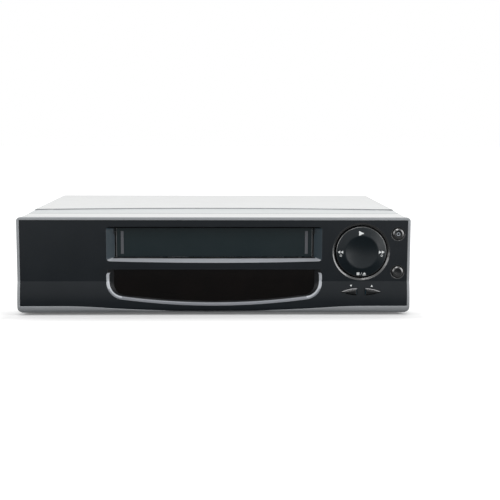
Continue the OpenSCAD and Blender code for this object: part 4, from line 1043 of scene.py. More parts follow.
@dataclass
class Fascia:
    """The black fascia with its cassette mouth, window lip, dial ring and key wells."""

    shape: FrontShape = SHAPE
    gap: float = 0.15
    mouth_half: float = 104.1
    mouth_low: float = 52.6
    mouth_high: float = 86.2
    mouth_sag: float = 1.4
    mouth_walls: Triple = (2.0, 3.0, 1.7)
    # Depth of the band of the mouth's floor, before the slot, that is painted black as shade.
    shade_band: float = 2.2
    slot_half: float = 96.8
    slot_low: float = 55.6
    slot_high: float = 84.2
    lip_half: float = 104.5
    lip_corner: float = 17.0
    lip_bow: float = 670.0
    lip_low: float = 9.7
    glass_half: float = 97.5
    glass_corner: float = 11.0
    glass_bow: float = 660.0
    glass_low: float = 13.4
    glass_seat: float = 3.0
    frame_wall: float = 2.0
    plate_low: float = 2.6
    ear_width: float = 2.4
    ear_reach: float = 4.5
    ear_levels: Pair = (-6.0, 1.4)
    ear_bore: float = 1.3
    dial: Pair = (142.4, 61.9)
    dial_hole: float = 24.9
    ring_radius: float = 27.8
    ring_edge: float = 1.9
    ring_slope: float = 0.6
    ring_floor: float = 2.2
    lip_width: float = 2.8
    key_x: float = 178.1
    key_levels: tuple[float, ...] = (79.3, 42.2)
    key_radius: float = 5.4
    key_ring: Triple = (1.2, 0.5, 0.3)
    key_floor: float = 1.5
    wing_level: float = 23.2
    wing_gap: float = 3.8
    wing_length: float = 15.2
    wing_half: float = 3.4

    def glass_outline(self, gap: float = 0.0) -> list[Pair]:
        """Outline of the display glass, drawn in by a gap."""
        return self.shape.bow_outline(
            self.glass_half - gap, self.glass_corner - gap, self.glass_bow - gap, self.glass_low + gap)

    def wing_outline(self, side: int, gap: float = 0.0) -> list[Pair]:
        """Leaf-shaped outline of one half of the channel rocker, as (x, z).

        Args:
            side: 1 for the right half, -1 for the left.
            gap: How far the outline is widened.

        Returns:
            The outline.
        """
        length, half = self.wing_length, self.wing_half
        radius = (length * length + half * half) / (2 * half) + gap
        root = self.dial[0] + side * self.wing_gap
        middle = half + gap - radius
        reach = math.sqrt(radius * radius - middle * middle)
        steps = 14
        across = [-gap + (reach + gap) * i / steps for i in range(steps + 1)]
        rise = [math.sqrt(max(radius * radius - u * u, 0)) + middle for u in across]
        upper = [(root + side * u, self.wing_level + v) for u, v in zip(across, rise)]
        lower = [(root + side * u, self.wing_level - v) for u, v in zip(across, rise)][:-1]
        return [*lower, *reversed(upper)]

    def plate(self) -> Piece:
        """The panel's plate, walls of the mouth and frame of the window, trimmed to its outline."""
        s, low = self.shape, self.plate_low
        outer, inner = s.profile(s.fascia_inset, low), s.profile(s.fascia_inset + s.fascia_wall, low)
        panel = Piece.sideways("fascia_shell", [*outer, *reversed(inner)], FAR / 2)
        top, back = s.window_top + self.frame_wall, s.glass_y + self.glass_seat
        block = [(outer[0][0], top), *[(y, z) for y, z in outer if z <= top], (back, low), (back, top)]
        panel.carve(Piece.sideways("window_block", block, self.lip_half + self.frame_wall), Join.ADD)
        aside, below, above = self.mouth_walls
        half, start = self.mouth_half + aside, (s.face + 1, self.mouth_low - below)
        panel.carve(Piece.block("mouth_walls", (-half, *start), (half, s.slot_y, self.mouth_high + above)), Join.ADD)
        return panel.carve(Piece.upright("trim", s.fascia_outline(self.gap), s.ahead, s.through), Join.KEEP)

    def mouth_ring(self, grow: float, corner: float, y: float) -> list[Triple]:
        """One outline of the cassette opening's funnel, from its slot (0) to its mouth (1).

        Args:
            grow: How far it has opened, from 0 to 1.
            corner: Radius of its corners.
            y: Its depth.

        Returns:
            The outline.
        """
        half = self.slot_half + (self.mouth_half - self.slot_half) * grow
        low = self.slot_low + (self.mouth_low - self.slot_low) * grow
        high = self.slot_high + (self.mouth_high - self.slot_high) * grow
        corners = soft_rect((-half, low), (half, high), corner, corner, 5)
        reach = half - corner
        floor = [(x, low - self.mouth_sag * grow * (1 - (x / reach) ** 2)) for x in stretch(-reach, reach, 16)[1:-1]]
        return seen([*corners[:6], *floor, *corners[6:]], y)

    def mouth(self) -> Piece:
        """Cutter of the cassette opening: a funnel that narrows to the slot."""
        s = self.shape
        front = s.face + s.fascia_inset
        return Piece.lofted("mouth", [
            self.mouth_ring(1.06, 3.6, front - 3), self.mouth_ring(1.03, 3.4, front - 0.1),
            # The ring before the slot bounds the band of floor that takes painted shade.
            self.mouth_ring(0.97, 3.0, front + 0.35), self.mouth_ring(0.27, 1.2, s.slot_y - self.shade_band),
            self.mouth_ring(0.06, 0.8, s.slot_y - 0.4), self.mouth_ring(0, 0.5, s.slot_y),
            self.mouth_ring(0, 0.5, s.slot_y + 2),
        ])

    def lip_ring(self, aside: float, up: float, deep: float) -> list[Triple]:
        """One outline of the window's lip, which follows the bulge and ends in two round-tipped arms.

        Args:
            aside: How far it is drawn in at its sides.
            up: How far it is drawn in at its lower edge.
            deep: How far it lies behind the fascia's surface.

        Returns:
            The outline.
        """
        s = self.shape
        outline = s.bow_outline(self.lip_half - aside, self.lip_corner - aside, self.lip_bow - up, self.lip_low + up)
        points = []
        for x, z in outline:
            tip = math.sqrt(min(max((s.arm_top - z) / s.arm_round, 0.02), 1))
            pull = (self.lip_width / 2 - aside) * (1 - tip)
            points.append((x - math.copysign(pull, x), s.surface(z) + s.fascia_inset + deep, z))
        return points

    def window(self) -> Piece:
        """Cutter of the window: its lip, then a dark wall down to the glass."""
        s, ring, glass = self.shape, self.lip_ring, self.glass_outline()
        lead = [(x, s.face - 6, z) for x, _, z in ring(-0.1, -0.1, 0)]
        return Piece.lofted("window", [
            lead, ring(-0.1, -0.1, -0.15), ring(0.3, 0.35, 0.15), ring(1.3, 1.5, 0.45), ring(2.4, 2.4, 1.0),
            ring(self.lip_width, 2.9, 1.5), seen(glass, s.glass_y - 0.3), seen(glass, s.glass_y + 5),
        ])

    def ring_cutter(self, centre: Pair, outer: float, wall: float, hole: float, floor: float) -> Piece:
        """Cutter of a round hole: a polished sloping edge, a wall, a narrow floor and the hole itself.

        Args:
            centre: Middle of the hole, as (x, z).
            outer: Radius of the edge at the face.
            wall: Radius of the wall.
            hole: Radius of the hole.
            floor: Depth of the floor below the face.

        Returns:
            The cutter.
        """
        face = self.shape.face + self.shape.fascia_inset
        drop, foot, end = face + (outer - wall) * self.ring_slope, face + floor, face + 9
        profile = [(0, face - 6), (outer + 0.25, face - 6), (outer + 0.25, face - 0.02), (outer, face + 0.05),
                   (wall + 0.1, drop), (wall, drop + 0.2), (wall, foot), (hole, foot), (hole, end), (0, end)]
        return Piece.turned("ring", profile, centre, 96 if outer > 10 else 48)

    def lip_finish(self, place: Vector) -> int:
        """Finish of a face inside the window: 1 lip, 4 arm with a painted highlight in lighter silver, 5 dark wall.
        """
        s, width = self.shape, abs(place.x)
        deep = place.y - s.surface(place.z) - s.fascia_inset
        if deep > 1.6 or place.z > s.arm_top - 0.1:
            return 5
        return 4 if place.z > 27 or width > 88 and deep > 0.35 else 1

    def finish_of(self, place: Vector, normal: Vector) -> int:
        """Which finish a face of the panel takes.

        Args:
            place: The face's middle.
            normal: The way that it faces.

        Returns:
            0 for the front, 1 lip, 2 funnel, 3 glossy edge, 4 lighter silver as painted highlight, 5 dark wall, also
            painted shade.
        """
        s, width = self.shape, abs(place.x)
        if place.y < s.surface(max(place.z, s.chin_level + 4)) + s.fascia_inset + 0.01 or abs(normal.y) > 0.9995:
            return 0
        if width < self.lip_half + 0.6 and self.lip_low - 0.3 < place.z < s.window_top - 0.05:
            return self.lip_finish(place) if place.y < s.glass_y + 0.1 else 0
        if width < self.mouth_half + 1.5 and self.mouth_low - 2.6 < place.z < self.mouth_high + 1.5:
            if place.y > s.slot_y + 0.1:
                return 0
            # The mouth's downward top and the band before the slot take painted shade (5); its upward floor takes a
            # painted highlight (4).
            shade_band = abs(normal.z) > 0.4 and place.y > s.slot_y - self.shade_band
            return 5 if shade_band or normal.z < -0.4 else 4 if normal.z > 0.4 else 2
        reach = math.hypot(place.x - self.dial[0], place.z - self.dial[1])
        near_key = any(math.hypot(place.x - self.key_x, place.z - z) < self.key_radius + 2.2 for z in self.key_levels)
        if (reach < self.ring_radius + 1 or near_key) and place.y < s.face + 3:
            return 3 if -0.97 < normal.y < -0.1 else 5
        return 0

    def ears(self) -> tuple[Piece, Piece]:
        """The two ears behind the mouth that carry the flap's hinge pins."""
        s, inner, outer = self.shape, self.slot_half, self.slot_half + self.ear_width
        low, high = (self.slot_high + level for level in self.ear_levels)
        ear = Piece.block("ear", (inner, s.slot_y - 1, low), (outer, s.slot_y + self.ear_reach, high))
        ear.round_edges(0.3, 2, lambda place: place.y > s.slot_y + 4)
        ear.carve(Piece.rod("bore", self.ear_bore, (inner - 1, *s.hinge), (outer + 1.6, *s.hinge), 32))
        return ear, ear.mirrored("ear")

    def glass(self) -> None:
        """Builds the smoked glass of the window."""
        s = self.shape
        glass = Piece.upright("window_pane", self.glass_outline(-1.0), s.glass_y, 2)
        glass.round_edges(0.25, 2, lambda place: place.y < s.glass_y + 0.1)
        glass.finish("housing", [SMOKED], "display_window", ["display_window"])

    def make(self) -> None:
        """Cuts every opening into the plate, then adds the ears of the flap and the glass."""
        s = self.shape
        panel = self.plate()
        panel.carve(self.mouth())
        panel.carve(self.window())
        wall = self.ring_radius - self.ring_edge
        panel.carve(self.ring_cutter(self.dial, self.ring_radius, wall, self.dial_hole, self.ring_floor))
        for level in self.key_levels:
            radii = [self.key_radius + more for more in self.key_ring]
            panel.carve(self.ring_cutter((self.key_x, level), *radii, self.key_floor))
        for side in (1, -1):
            panel.carve(Piece.upright("wing", self.wing_outline(side, 0.3), s.face - 10, 20))
        for ear in self.ears():
            panel.carve(ear, Join.ADD)
        panel.keep_crease(lambda place: abs(place.z - s.crease) < 0.3 and place.y < s.face + 1)
        # The fifth coat paints highlights and the sixth partly paints shade.
        coats = [FASCIA_BLACK, LIP_GREY, FUNNEL_GREY, EDGE_GLOSS, LIP_HIGHLIGHT, WALL_BLACK_AND_SHADE]
        panel.finish("housing", coats, "fascia_panel", ["fascia_panel"], self.finish_of, 24)
        self.glass()


class Marks:
    """Printed signs, each a thin raised shape that follows the surface under it."""

    height: float = 0.05

    @staticmethod
    def printed(name: str, shapes: Sequence[Sequence[Pair]], raised: Piece, back: float) -> Piece:
        """Keeps of some upright prisms what lies within a body that is a hair thicker than the real one.

        Args:
            name: Name of the sign.
            shapes: Outlines (x, z) of its parts.
            raised: The thickened body, which is used up.
            back: Depth y at which the prisms end, inside the real body.

        Returns:
            The sign, as one piece.
        """
        front = SHAPE.face - 8
        parts = [Piece.upright(name, outline, front, back - front) for outline in shapes]
        sign = parts[0].gather(*parts[1:]) if len(parts) > 1 else parts[0]
        return sign.carve(raised, Join.KEEP)

    @staticmethod
    def triangle(x: float, z: float, half: float, tall: float, heading: float) -> list[Pair]:
        """A triangle about (x, z) that points along the heading, in degrees."""
        turn = math.radians(heading)
        along, across = (math.cos(turn), math.sin(turn)), (-math.sin(turn), math.cos(turn))
        ends = [(tall / 2, 0), (-tall / 2, half), (-tall / 2, -half)]
        return [(x + a * along[0] + b * across[0], z + a * along[1] + b * across[1]) for a, b in ends]

    @staticmethod
    def box(x: float, z: float, half_x: float, half_z: float) -> list[Pair]:
        """A rectangle about (x, z)."""
        low, high = z - half_z, z + half_z
        return [(x - half_x, low), (x + half_x, low), (x + half_x, high), (x - half_x, high)]

    @staticmethod
    def ring(x: float, z: float, radius: float, width: float, start: float = 0.0, end: float = 355.0) -> list[Pair]:
        """A thin open ring about (x, z), from one angle to another."""
        return arc((x, z), radius, start, end, 20) + arc((x, z), radius - width, end, start, 20)


@dataclass
class Dial:
    """The four-way rocker disc, with its signs."""

    centre: Pair = Fascia.dial
    radius: float = 24.6
    back: float = -137.2
    crest: float = 16.4
    crest_rise: float = 5.0
    rim_rise: float = 3.1
    dish: float = 15.4
    dish_depth: float = 2.3
    pivot: float = -134.0
    ear_reach: Pair = (7.0, 9.0)
    ear_half: float = 2.0
    ear_bore: float = 1.05
    sunk: float = 0.5
    prong_radius: float = 2.0
    prong_reach: float = 17.0
    prong_end: float = -133.45

    def depth(self, reach: float) -> float:
        """Depth y of the disc's front at a distance from its middle."""
        rim, top = self.back - self.rim_rise, self.back - self.crest_rise
        if reach >= self.radius - 0.5:
            return rim
        if reach >= self.crest:
            return top + (rim - top) * (reach - self.crest) / (self.radius - 0.5 - self.crest)
        if reach >= self.dish:
            return top
        ball = (self.dish**2 + self.dish_depth**2) / (2 * self.dish_depth)
        return top + self.dish_depth - ball + math.sqrt(ball * ball - reach * reach)

    def profile(self) -> list[Pair]:
        """Half section of the disc, with its edges rounded, as (radius, y)."""
        dish = [(self.dish * i / 14, self.depth(self.dish * i / 14 - 1e-6)) for i in range(14)]
        top, r = self.back - self.crest_rise, self.radius
        crest = [(self.dish - 0.15, top + 0.08), (self.dish + 0.25, top), (self.crest - 0.1, top),
                 (self.crest + 0.35, self.depth(self.crest + 0.35))]
        slope = self.depth(r - 1.0)
        rim = [(r - 1.0, slope), (r - 0.7, slope + 0.15), (r - 0.35, slope + 0.4), (r - 0.1, slope + 0.8),
               (r, slope + 1.3)]
        return [*dish, *crest, *rim, (r, self.back), (0, self.back)]

    def signs(self) -> Piece:
        """Play, rewind, wind on, stop and eject, in the places of the real disc's signs."""
        x, z = self.centre
        tri = Marks.triangle
        shapes = [
            tri(x - 0.3, z + 18.2, 2.3, 4.9, 0),
            tri(x - 21.9, z - 0.2, 1.5, 2.4, 180), tri(x - 19.1, z - 0.2, 1.5, 2.4, 180),
            tri(x + 18.1, z - 0.2, 1.5, 2.8, 0), tri(x + 21.1, z - 0.2, 1.5, 2.8, 0),
            Marks.ring(x - 20.0, z - 3.6, 1.05, 0.4), Marks.ring(x + 19.7, z - 3.6, 1.05, 0.4),
            Marks.box(x - 3.0, z - 21.4, 1.35, 1.35),
            [(x - 0.75, z - 22.8), (x - 0.4, z - 22.8), (x + 0.75, z - 20.0), (x + 0.4, z - 20.0)],
            tri(x + 3.1, z - 20.9, 1.75, 2.0, 90), Marks.box(x + 3.1, z - 22.65, 1.7, 0.3),
        ]
        raised = [(r, y - Marks.height) for r, y in self.profile()]
        return Marks.printed("dial_signs", shapes, Piece.turned("raised", raised, self.centre, 128), self.back - 2.6)

    def finish_of(self, place: Vector, normal: Vector) -> int:
        """The polished rounding of the disc's rim is 1 and the rest is 0."""
        away = math.hypot(place.x - self.centre[0], place.z - self.centre[1])
        return 1 if away > self.radius - 1.0 and -0.85 < normal.y < -0.05 else 0

    def make(self) -> None:
        """Turns the disc, gives it its ears and prongs, and prints its signs."""
        x, z = self.centre
        disc = Piece.turned("rocker_face", self.profile(), self.centre, 128)
        for side in (1, -1):
            low, high = sorted(z + side * reach for reach in self.ear_reach)
            half, start = self.ear_half, self.back - self.sunk
            ear = Piece.block("ear", (x - half, start, low), (x + half, self.pivot + half, high))
            ear.carve(Piece.rod("bore", self.ear_bore, (x, self.pivot, low - 2), (x, self.pivot, high + 2), 32))
            disc.carve(ear, Join.ADD)
        for turn in map(math.radians, range(0, 360, 90)):
            px, pz = x + self.prong_reach * math.cos(turn), z + self.prong_reach * math.sin(turn)
            start = (px, self.back - self.sunk, pz)
            prong = Piece.rod("prong", self.prong_radius, start, (px, self.prong_end, pz), 32)
            prong.round_edges(0.3, 2, lambda place: place.y > self.prong_end - 0.1)
            disc.carve(prong, Join.ADD)
        disc.finish("dial", [DIAL_BLACK, EDGE_GLOSS], "rocker_disc", ["rocker_disc"], self.finish_of)
        self.signs().finish("dial", [PRINT_WHITE], "rocker_disc")


@dataclass
class Keys:
    """The round power and record keys, and the two halves of the channel rocker."""

    fascia: Fascia = field(default_factory=Fascia)
    face: float = -140.0
    stem_end: float = -134.0
    collar: float = 5.9
    rim: float = 1.7
    crown: float = 1.2
    leaf_back: float = -137.7
    leaf_steps: tuple[Pair, ...] = (
        (0.0, -142.3), (-0.25, -142.9), (-0.7, -143.6), (-1.3, -144.2), (-2.1, -144.6), (-2.8, -144.7))
    wing_stem: Pair = (1.5, 9.0)
    power_ring: Pair = (1.75, 0.6)
    arrow: Pair = (1.1, 1.9)
    arrows: tuple[Pair, ...] = ((-9.7, 270.0), (10.6, 90.0))
    sign_level: float = 28.7

    def key_profile(self, lift: float = 0.0) -> list[Pair]:
        """Half section of a round key: a shallow dish, a full round rim, a collar and a stem, as (radius, y)."""
        r, front, foot = self.fascia.key_radius, self.face - self.crown - lift, self.face + 3
        flat = r - self.rim
        dish = [(flat * i / 8, front + 0.45 * (1 - (i / 8) ** 2)) for i in range(8)]
        rim = [(flat, front), (flat + 0.2, front + 0.04), (r - 0.25, front + 0.8), (r - 0.05, front + 1.0),
               (r, front + self.crown)]
        return [*dish, *rim, (r, foot), (self.collar, foot), (self.collar, foot + 1), (2, foot + 1),
                (2, self.stem_end), (0, self.stem_end)]

    def rim_finish(self, place: Vector, normal: Vector) -> int:
        """The polished rim of a round key is 1 and the rest is 0."""
        return 1 if -0.97 < normal.y < -0.3 and place.y < self.face else 0

    def leaf_finish(self, place: Vector, normal: Vector) -> int:
        """On a leaf's sides, the upper edge takes a painted highlight (1) and the end towards the other leaf a
        fainter painted highlight (2).
        """
        if not -143.4 < place.y < -142 or normal.y > -0.15:
            return 0
        inward = normal.x if place.x < self.fascia.dial[0] else -normal.x
        return 1 if normal.z > 0.35 else 2 if inward > 0.7 else 0

    def wings(self) -> tuple[Piece, Piece]:
        """The channel rocker's halves: crowned leaves with a flange and a stem, mirrored about the dial."""
        f, back = self.fascia, self.leaf_back
        steps = ((0.0, back), *self.leaf_steps)
        down = Piece.lofted("channel_down_leaf", [seen(f.wing_outline(-1, gap), y) for gap, y in steps])
        flange = Piece.upright("flange", f.wing_outline(-1, 0.7), back - 1, 1)
        (radius, away), level = self.wing_stem, f.wing_level
        x = f.dial[0] - away
        stem = Piece.rod("stem", radius, (x, back - 0.5, level), (x, self.stem_end, level), 24)
        down.carve(flange, Join.ADD).carve(stem, Join.ADD)
        across = Matrix.Translation((2 * f.dial[0], 0, 0)) @ Matrix.Scale(-1, 4, (1, 0, 0))
        return down, down.moved("channel_up_leaf", across).face_outward()

    def signs(self) -> None:
        """Prints the ring on the power key, and the two triangles over the channel rocker."""
        f, hair = self.fascia, Marks.height
        centre = (f.key_x, f.key_levels[0])
        raised = Piece.turned("raised", self.key_profile(hair), centre, 64)
        sign = Marks.printed("power_sign", [Marks.ring(*centre, *self.power_ring)], raised, self.face)
        sign.finish("power_key", [PRINT_GREY], "power_button")
        triangles = [
            Marks.triangle(f.dial[0] + x, self.sign_level, *self.arrow, heading) for x, heading in self.arrows
        ]
        front = SHAPE.profile(SHAPE.fascia_inset - hair)
        side = [*front, (self.face + 1, SHAPE.chin_level), (self.face + 1, SHAPE.height)]
        raised = Piece.sideways("raised", side, 20, f.dial[0])
        sign = Marks.printed("channel_signs", triangles, raised, self.face - 0.2)
        sign.finish("housing", [PRINT_WHITE], "fascia_panel")

    def make(self) -> None:
        """Builds the keys and the signs on and by them."""
        f = self.fascia
        for name, level in zip(("power", "record"), f.key_levels):
            key = Piece.turned(name + "_cap", self.key_profile(), (f.key_x, level), 64)
            key.finish(name + "_key", [KEY_BLACK, EDGE_GLOSS], name + "_button", [name + "_button"], self.rim_finish)
        # The second coat paints a highlight on the leaves' upper edges, and the third a fainter one on their inner
        # ends.
        coats = [KEY_BLACK, WING_HIGHLIGHT, FUNNEL_GREY]
        for name, key in zip(("channel_down", "channel_up"), self.wings()):
            key.finish(name + "_key", coats, name + "_button", [name + "_button"], self.leaf_finish)
        self.signs()


@dataclass
class Flap:
    """The cassette flap with its two light bars."""

    half: float = 95.6
    front: float = -131.2
    back: float = -128.8
    low: float = 55.85
    high: float = 83.95
    pin_end: float = 100.0
    axis: Pair = SHAPE.hinge
    bead: float = 1.2
    bar_reach: Pair = (7.4, 4.7)
    bar_margin: Pair = (2.9, 2.8)
    bar_depth: Pair = (0.5, 0.2)

    def edge_finish(self, place: Vector, normal: Vector) -> int:
        """The rounded edges at the flap's two ends take a painted highlight (1) and the rest is 0."""
        at_end = self.half - 1 < abs(place.x) < self.half + 0.05
        return 1 if at_end and -0.97 < normal.y < -0.2 else 0

    def make(self) -> None:
        """Builds the plate, its bars, its hinge pins and the bead along its lower edge."""
        plate = Piece.block("flap_plate", (-self.half, self.front, self.low), (self.half, self.back, self.high))
        plate.round_edges(0.9, 3, lambda place: abs(place.x) > self.half - 0.1 and place.y < self.front + 0.1)
        plate.round_edges(0.3, 3, lambda place: place.y > self.front + 0.1 or abs(place.x) < self.half - 2, 60)
        bead_y, bead_z = self.back - 0.2, self.low + self.bead
        bead = Piece.rod("bead", self.bead, (-self.half, bead_y, bead_z), (self.half, bead_y, bead_z), 24)
        plate.carve(bead, Join.ADD)
        for side in (1, -1):
            ends = sorted((side * (self.half - 1), side * self.pin_end))
            pin = Piece.rod("pin", 1.25, (ends[0], *self.axis), (ends[1], *self.axis), 32)
            pin.round_edges(0.3, 2)
            plate.carve(pin, Join.ADD)
        plate.finish("flap", [FLAP_BLACK, FLAP_EDGE_HIGHLIGHT], "cassette_flap", ["cassette_flap"], self.edge_finish)
        (inner, outer), (low, high), (out, sunk) = self.bar_reach, self.bar_margin, self.bar_depth
        bar = Piece.block("bar", (self.half - inner, self.front - out, self.low + low),
                          (self.half - outer, self.front + sunk, self.high - high))
        bar.round_edges(0.25, 3)
        bar.gather(bar.mirrored("bar"))
        bar.obj.name = "flap_bars"
        bar.finish("flap", [BAR_GREY], "cassette_flap")


@dataclass
class Feet:
    """Four rubber feet, each with its screw."""

    places: tuple[Pair, ...] = ((-165.0, -105.0), (165.0, -105.0), (-165.0, 115.0), (165.0, 115.0))
    radius: float = 11.0
    top: float = 6.0
    nodes: tuple[str, ...] = ("foot_front_left", "foot_front_right", "foot_rear_left", "foot_rear_right")

    def make(self) -> None:
        """Turns one foot and one screw, and copies them to the four places."""
        r = self.radius
        profile = [(1.7, -self.top), (r, -self.top), (r, -1.9), (r - 0.25, -1.6), (r - 1.2, -0.3), (r - 1.8, 0),
                   (7.4, 0), (7.1, -0.45), (6.3, -0.45), (6.0, 0), (3.9, 0), (3.6, -0.3), (3.6, -3), (1.7, -3),
                   (1.7, -self.top)]
        foot = Piece.turned("foot", profile, (0, 0), 64)
        screw = Piece.turned("foot_screw", [(0, -1.5), (2.6, -1.5), (3.1, -1.9), (3.1, -3), (1.4, -3), (1.4, -9.6),
                                            (1.0, -10), (0, -10)], (0, 0), 32)
        blade = Piece.block("blade", (-1.9, -2.3, -0.35), (1.9, -0.5, 0.35))
        turned = blade.moved("blade", Matrix.Rotation(math.pi / 2, 4, "Y"))
        screw.carve(blade).carve(turned)
        stand = Matrix.Rotation(-math.pi / 2, 4, "X")
        screws = []
        for node, (x, y) in zip(self.nodes, self.places):
            place = Matrix.Translation((x, y, 0)) @ stand
            foot.moved(node + "_pad", place).finish("housing", [RUBBER], node, [node])
            screws.append(screw.moved("foot_screw_set", place))
        foot.discard()
        screw.discard()
        screws[0].gather(*screws[1:]).finish("housing", [SCREW_STEEL], "foot_screws", ["foot_screws"])


@dataclass
class Inside:
    """The CAD nodes that keep their own shape, and the finish that each one gets."""

    finishes: dict[str, Finish] = field(default_factory=lambda: {
        "vfd_display": TUBE_GLASS, "control_board": BOARD_DARK, "tact_switches": CHIP_BLACK, "base_tray": ZINC,
        "rear_panel": DARK_STEEL, "scart_socket_lower": SOCKET_BLACK, "scart_socket_upper": SOCKET_BLACK,
        "tuner_box": NICKEL, "antenna_in_socket": NICKEL, "antenna_out_socket": NICKEL, "mains_inlet": SOCKET_BLACK,
        "main_board": BOARD_GREEN, "main_board_parts": CHIP_BLACK, "power_board": BOARD_BROWN,
        "power_transformer": CORE_STEEL, "power_board_parts": SLEEVE_BLUE, "heat_sink": ALLOY,
        "deck_chassis": ZINC, "bracket_left": ZINC, "bracket_right": ZINC, "bracket_bridge": ZINC,
        "lift_slider": ALLOY, "cassette_basket": BASKET_STEEL, "lower_drum": DRUM_ALLOY, "upper_drum": DRUM_ALLOY,
        "capstan_bearing": BRASS, "capstan_flywheel": WHEEL_ALLOY, "reel_belt": RUBBER, "clutch_pulley": NYLON,
        "idler_arm": ALLOY, "idler_wheel": RUBBER, "supply_reel_table": NYLON, "take_up_reel_table": NYLON,
        "supply_guide": NICKEL, "take_up_guide": NICKEL, "pinch_arm": ALLOY, "pinch_roller": RUBBER,
        "tension_arm": ALLOY, "erase_head": NICKEL, "sound_head": NICKEL, "loading_motor": NICKEL,
        "loading_pinion": BRASS, "cam_gear": NYLON, "rocker_cross": NYLON,
    })

    def make(self) -> None:
        """Dresses each node through its object's material slots."""
        for name, finish in self.finishes.items():
            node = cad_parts[name]
            if not node.material_slots:
                node.data.materials.append(None)
            for slot in node.material_slots:
                slot.link = "OBJECT"
                slot.material = finish.material()
            log.info("%s: %s", name, finish.name)


# Studio -----------------------------------------------------------------------------------------


@dataclass(frozen=True)
class Lamp:
    """A soft lamp that faces the object. Its place and the size of its face are in metres."""

    name: str
    place: Triple
    size: Pair
    brightness: float

    def hang(self) -> None:
        """Hangs the lamp. Its brightness is that of its face, where the white background is 1."""
        data = bpy.data.lights.new(self.name, "AREA")
        data.shape, data.size, data.size_y = "RECTANGLE", *self.size
        data.energy = self.brightness * math.pi * self.size[0] * self.size[1]
        lamp = bpy.data.objects.new(self.name, data)
        lamp.location = self.place
        lamp.rotation_euler = (Vector(AIM) - Vector(self.place)).to_track_quat("-Z", "Y").to_euler()
        bpy.context.scene.collection.objects.link(lamp)


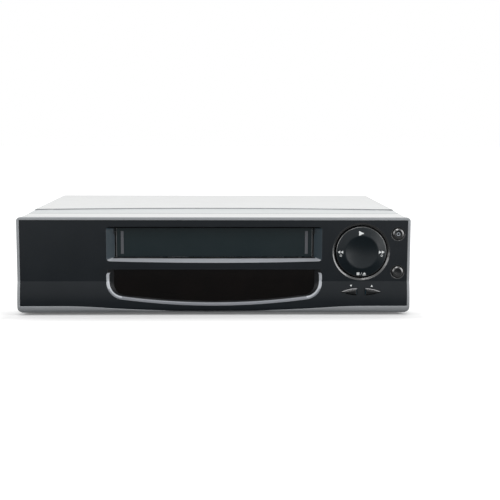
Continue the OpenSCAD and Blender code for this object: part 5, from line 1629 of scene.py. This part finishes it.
@dataclass
class Studio:
    """Camera, floor, lamps and the white surroundings."""

    camera_place: Triple = (5.5, -1116.7, 188.3)
    yaw: float = 1.69
    pitch: float = 7.27
    roll: float = 0.23
    lens: float = 73.37
    sensor: float = 36.0
    lamps: tuple[Lamp, ...] = (
        Lamp("lamp_above", (0.0, -0.1, 1.6), (1.8, 1.4), 0.55),
        Lamp("lamp_strip", (0.0, -0.75, 0.95), (0.5, 0.15), 6.0),
        Lamp("lamp_right", (1.2, -0.75, 0.42), (1.2, 1.0), 2.5),
        Lamp("lamp_left", (-1.2, -0.85, 0.6), (0.9, 0.9), 2.0),
    )

    def camera(self) -> None:
        """Stands the camera where the photograph was taken from."""
        data = bpy.data.cameras.new("camera")
        data.lens, data.sensor_width = self.lens, self.sensor
        data.clip_start, data.clip_end = 0.01, 50
        camera = bpy.data.objects.new("camera", data)
        camera.location = Vector(self.camera_place) * MM
        aim = Matrix.Identity(4)
        for angle, axis in ((-self.yaw, "Z"), (90 - self.pitch, "X"), (self.roll, "Z")):
            aim = aim @ Matrix.Rotation(math.radians(angle), 4, axis)
        camera.rotation_euler = aim.to_euler()
        bpy.context.scene.collection.objects.link(camera)
        bpy.context.scene.camera = camera

    def floor(self) -> None:
        """Lays a white floor that keeps the object's shadow, with shade painted round it: its glow for the camera
        fades towards the object and all but stops in strips before and behind it. Gloss shows it dim in front of the
        object.
        """
        bpy.ops.object.select_all(action="DESELECT")
        bpy.ops.mesh.primitive_plane_add(size=12)
        floor = bpy.context.object
        floor.name = "floor"
        paper = bpy.data.materials.new("floor_paper")
        paper.use_nodes = True
        nodes = Nodes(paper.node_tree)
        path = nodes.add("LightPath").outputs
        place = nodes.add("TexCoord").outputs["Object"]
        side, depth, _ = nodes.add("SeparateXYZ", {0: place}).outputs
        aside, deep = nodes.math("ABSOLUTE", side), nodes.math("ABSOLUTE", depth)
        away = nodes.vector("LENGTH", "Value", place)
        middle = nodes.remap(aside, 0.28, 0.45, 1.0, 0.0)
        near = nodes.math("MULTIPLY", nodes.remap(depth, 0.3, -0.2, 0.0, 1.0), middle)
        dim = nodes.math("MULTIPLY", near, path["Is Glossy Ray"])
        base = nodes.mix(dim, PAPER_WHITE, nodes.remap(depth, -1.1, -0.35, 0.5, 0.1))
        bright = nodes.math("SUBTRACT", path["Is Glossy Ray"], dim)
        shown = nodes.greatest(path["Is Camera Ray"], path["Is Transmission Ray"], bright)
        # Painted shade: the glow fades towards the object and all but stops in strips before and behind its
        # footprint.
        lift = nodes.greatest(
            nodes.remap(deep, 0.15, 0.185, 0.0, 0.35), nodes.remap(deep, 0.145, 0.1, 0.0, 0.4),
            nodes.remap(aside, 0.195, 0.23, 0.0, 0.4), nodes.remap(away, 0.3, 1.5, 0.05, 0.5))
        nodes.feed(paper.node_tree.nodes["Principled BSDF"], {
            "Base Color": nodes.mix(path["Is Diffuse Ray"], base, PAPER_BOUNCE),
            "Roughness": 0.9, "Specular IOR Level": 0.05,
            "Emission Color": WHITE, "Emission Strength": nodes.math("MULTIPLY", shown, lift),
        })
        floor.data.materials.append(paper)

    def surroundings(self) -> None:
        """A white world, dimmer as a source of light, and dimmer in gloss on the camera's side."""
        world = bpy.context.scene.world or bpy.data.worlds.new("studio")
        bpy.context.scene.world = world
        world.use_nodes = True
        nodes = Nodes(world.node_tree)
        path = nodes.add("LightPath").outputs
        heading = nodes.add("SeparateXYZ", {0: nodes.add("TexCoord").outputs["Generated"]}).outputs[1]
        gloss = nodes.math("MULTIPLY", nodes.remap(heading, -0.6, -0.1, 0.7, 1.0), path["Is Glossy Ray"])
        lit = nodes.math("MULTIPLY", path["Is Diffuse Ray"], 0.7)
        strength = nodes.greatest(path["Is Camera Ray"], path["Is Transmission Ray"], gloss, lit)
        nodes.feed(world.node_tree.nodes["Background"], {"Color": WHITE, "Strength": strength})

    def make(self) -> None:
        """Sets up the whole studio."""
        self.camera()
        self.floor()
        self.surroundings()
        for lamp in self.lamps:
            lamp.hang()
        bpy.context.scene.view_settings.view_transform = "Standard"
        log.info("studio: camera, floor and %d lamps", len(self.lamps))


def main() -> None:
    """Builds every sub-assembly in order."""
    logging.basicConfig(level=logging.INFO, format="%(message)s")
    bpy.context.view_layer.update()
    bpy.ops.object.select_all(action="DESELECT")
    for part in (Studio(), Cover(), Bezel(), Fascia(), Flap(), Dial(), Keys(), Feet(), Inside()):
        part.make()


if __name__ == "__main__":
    main()
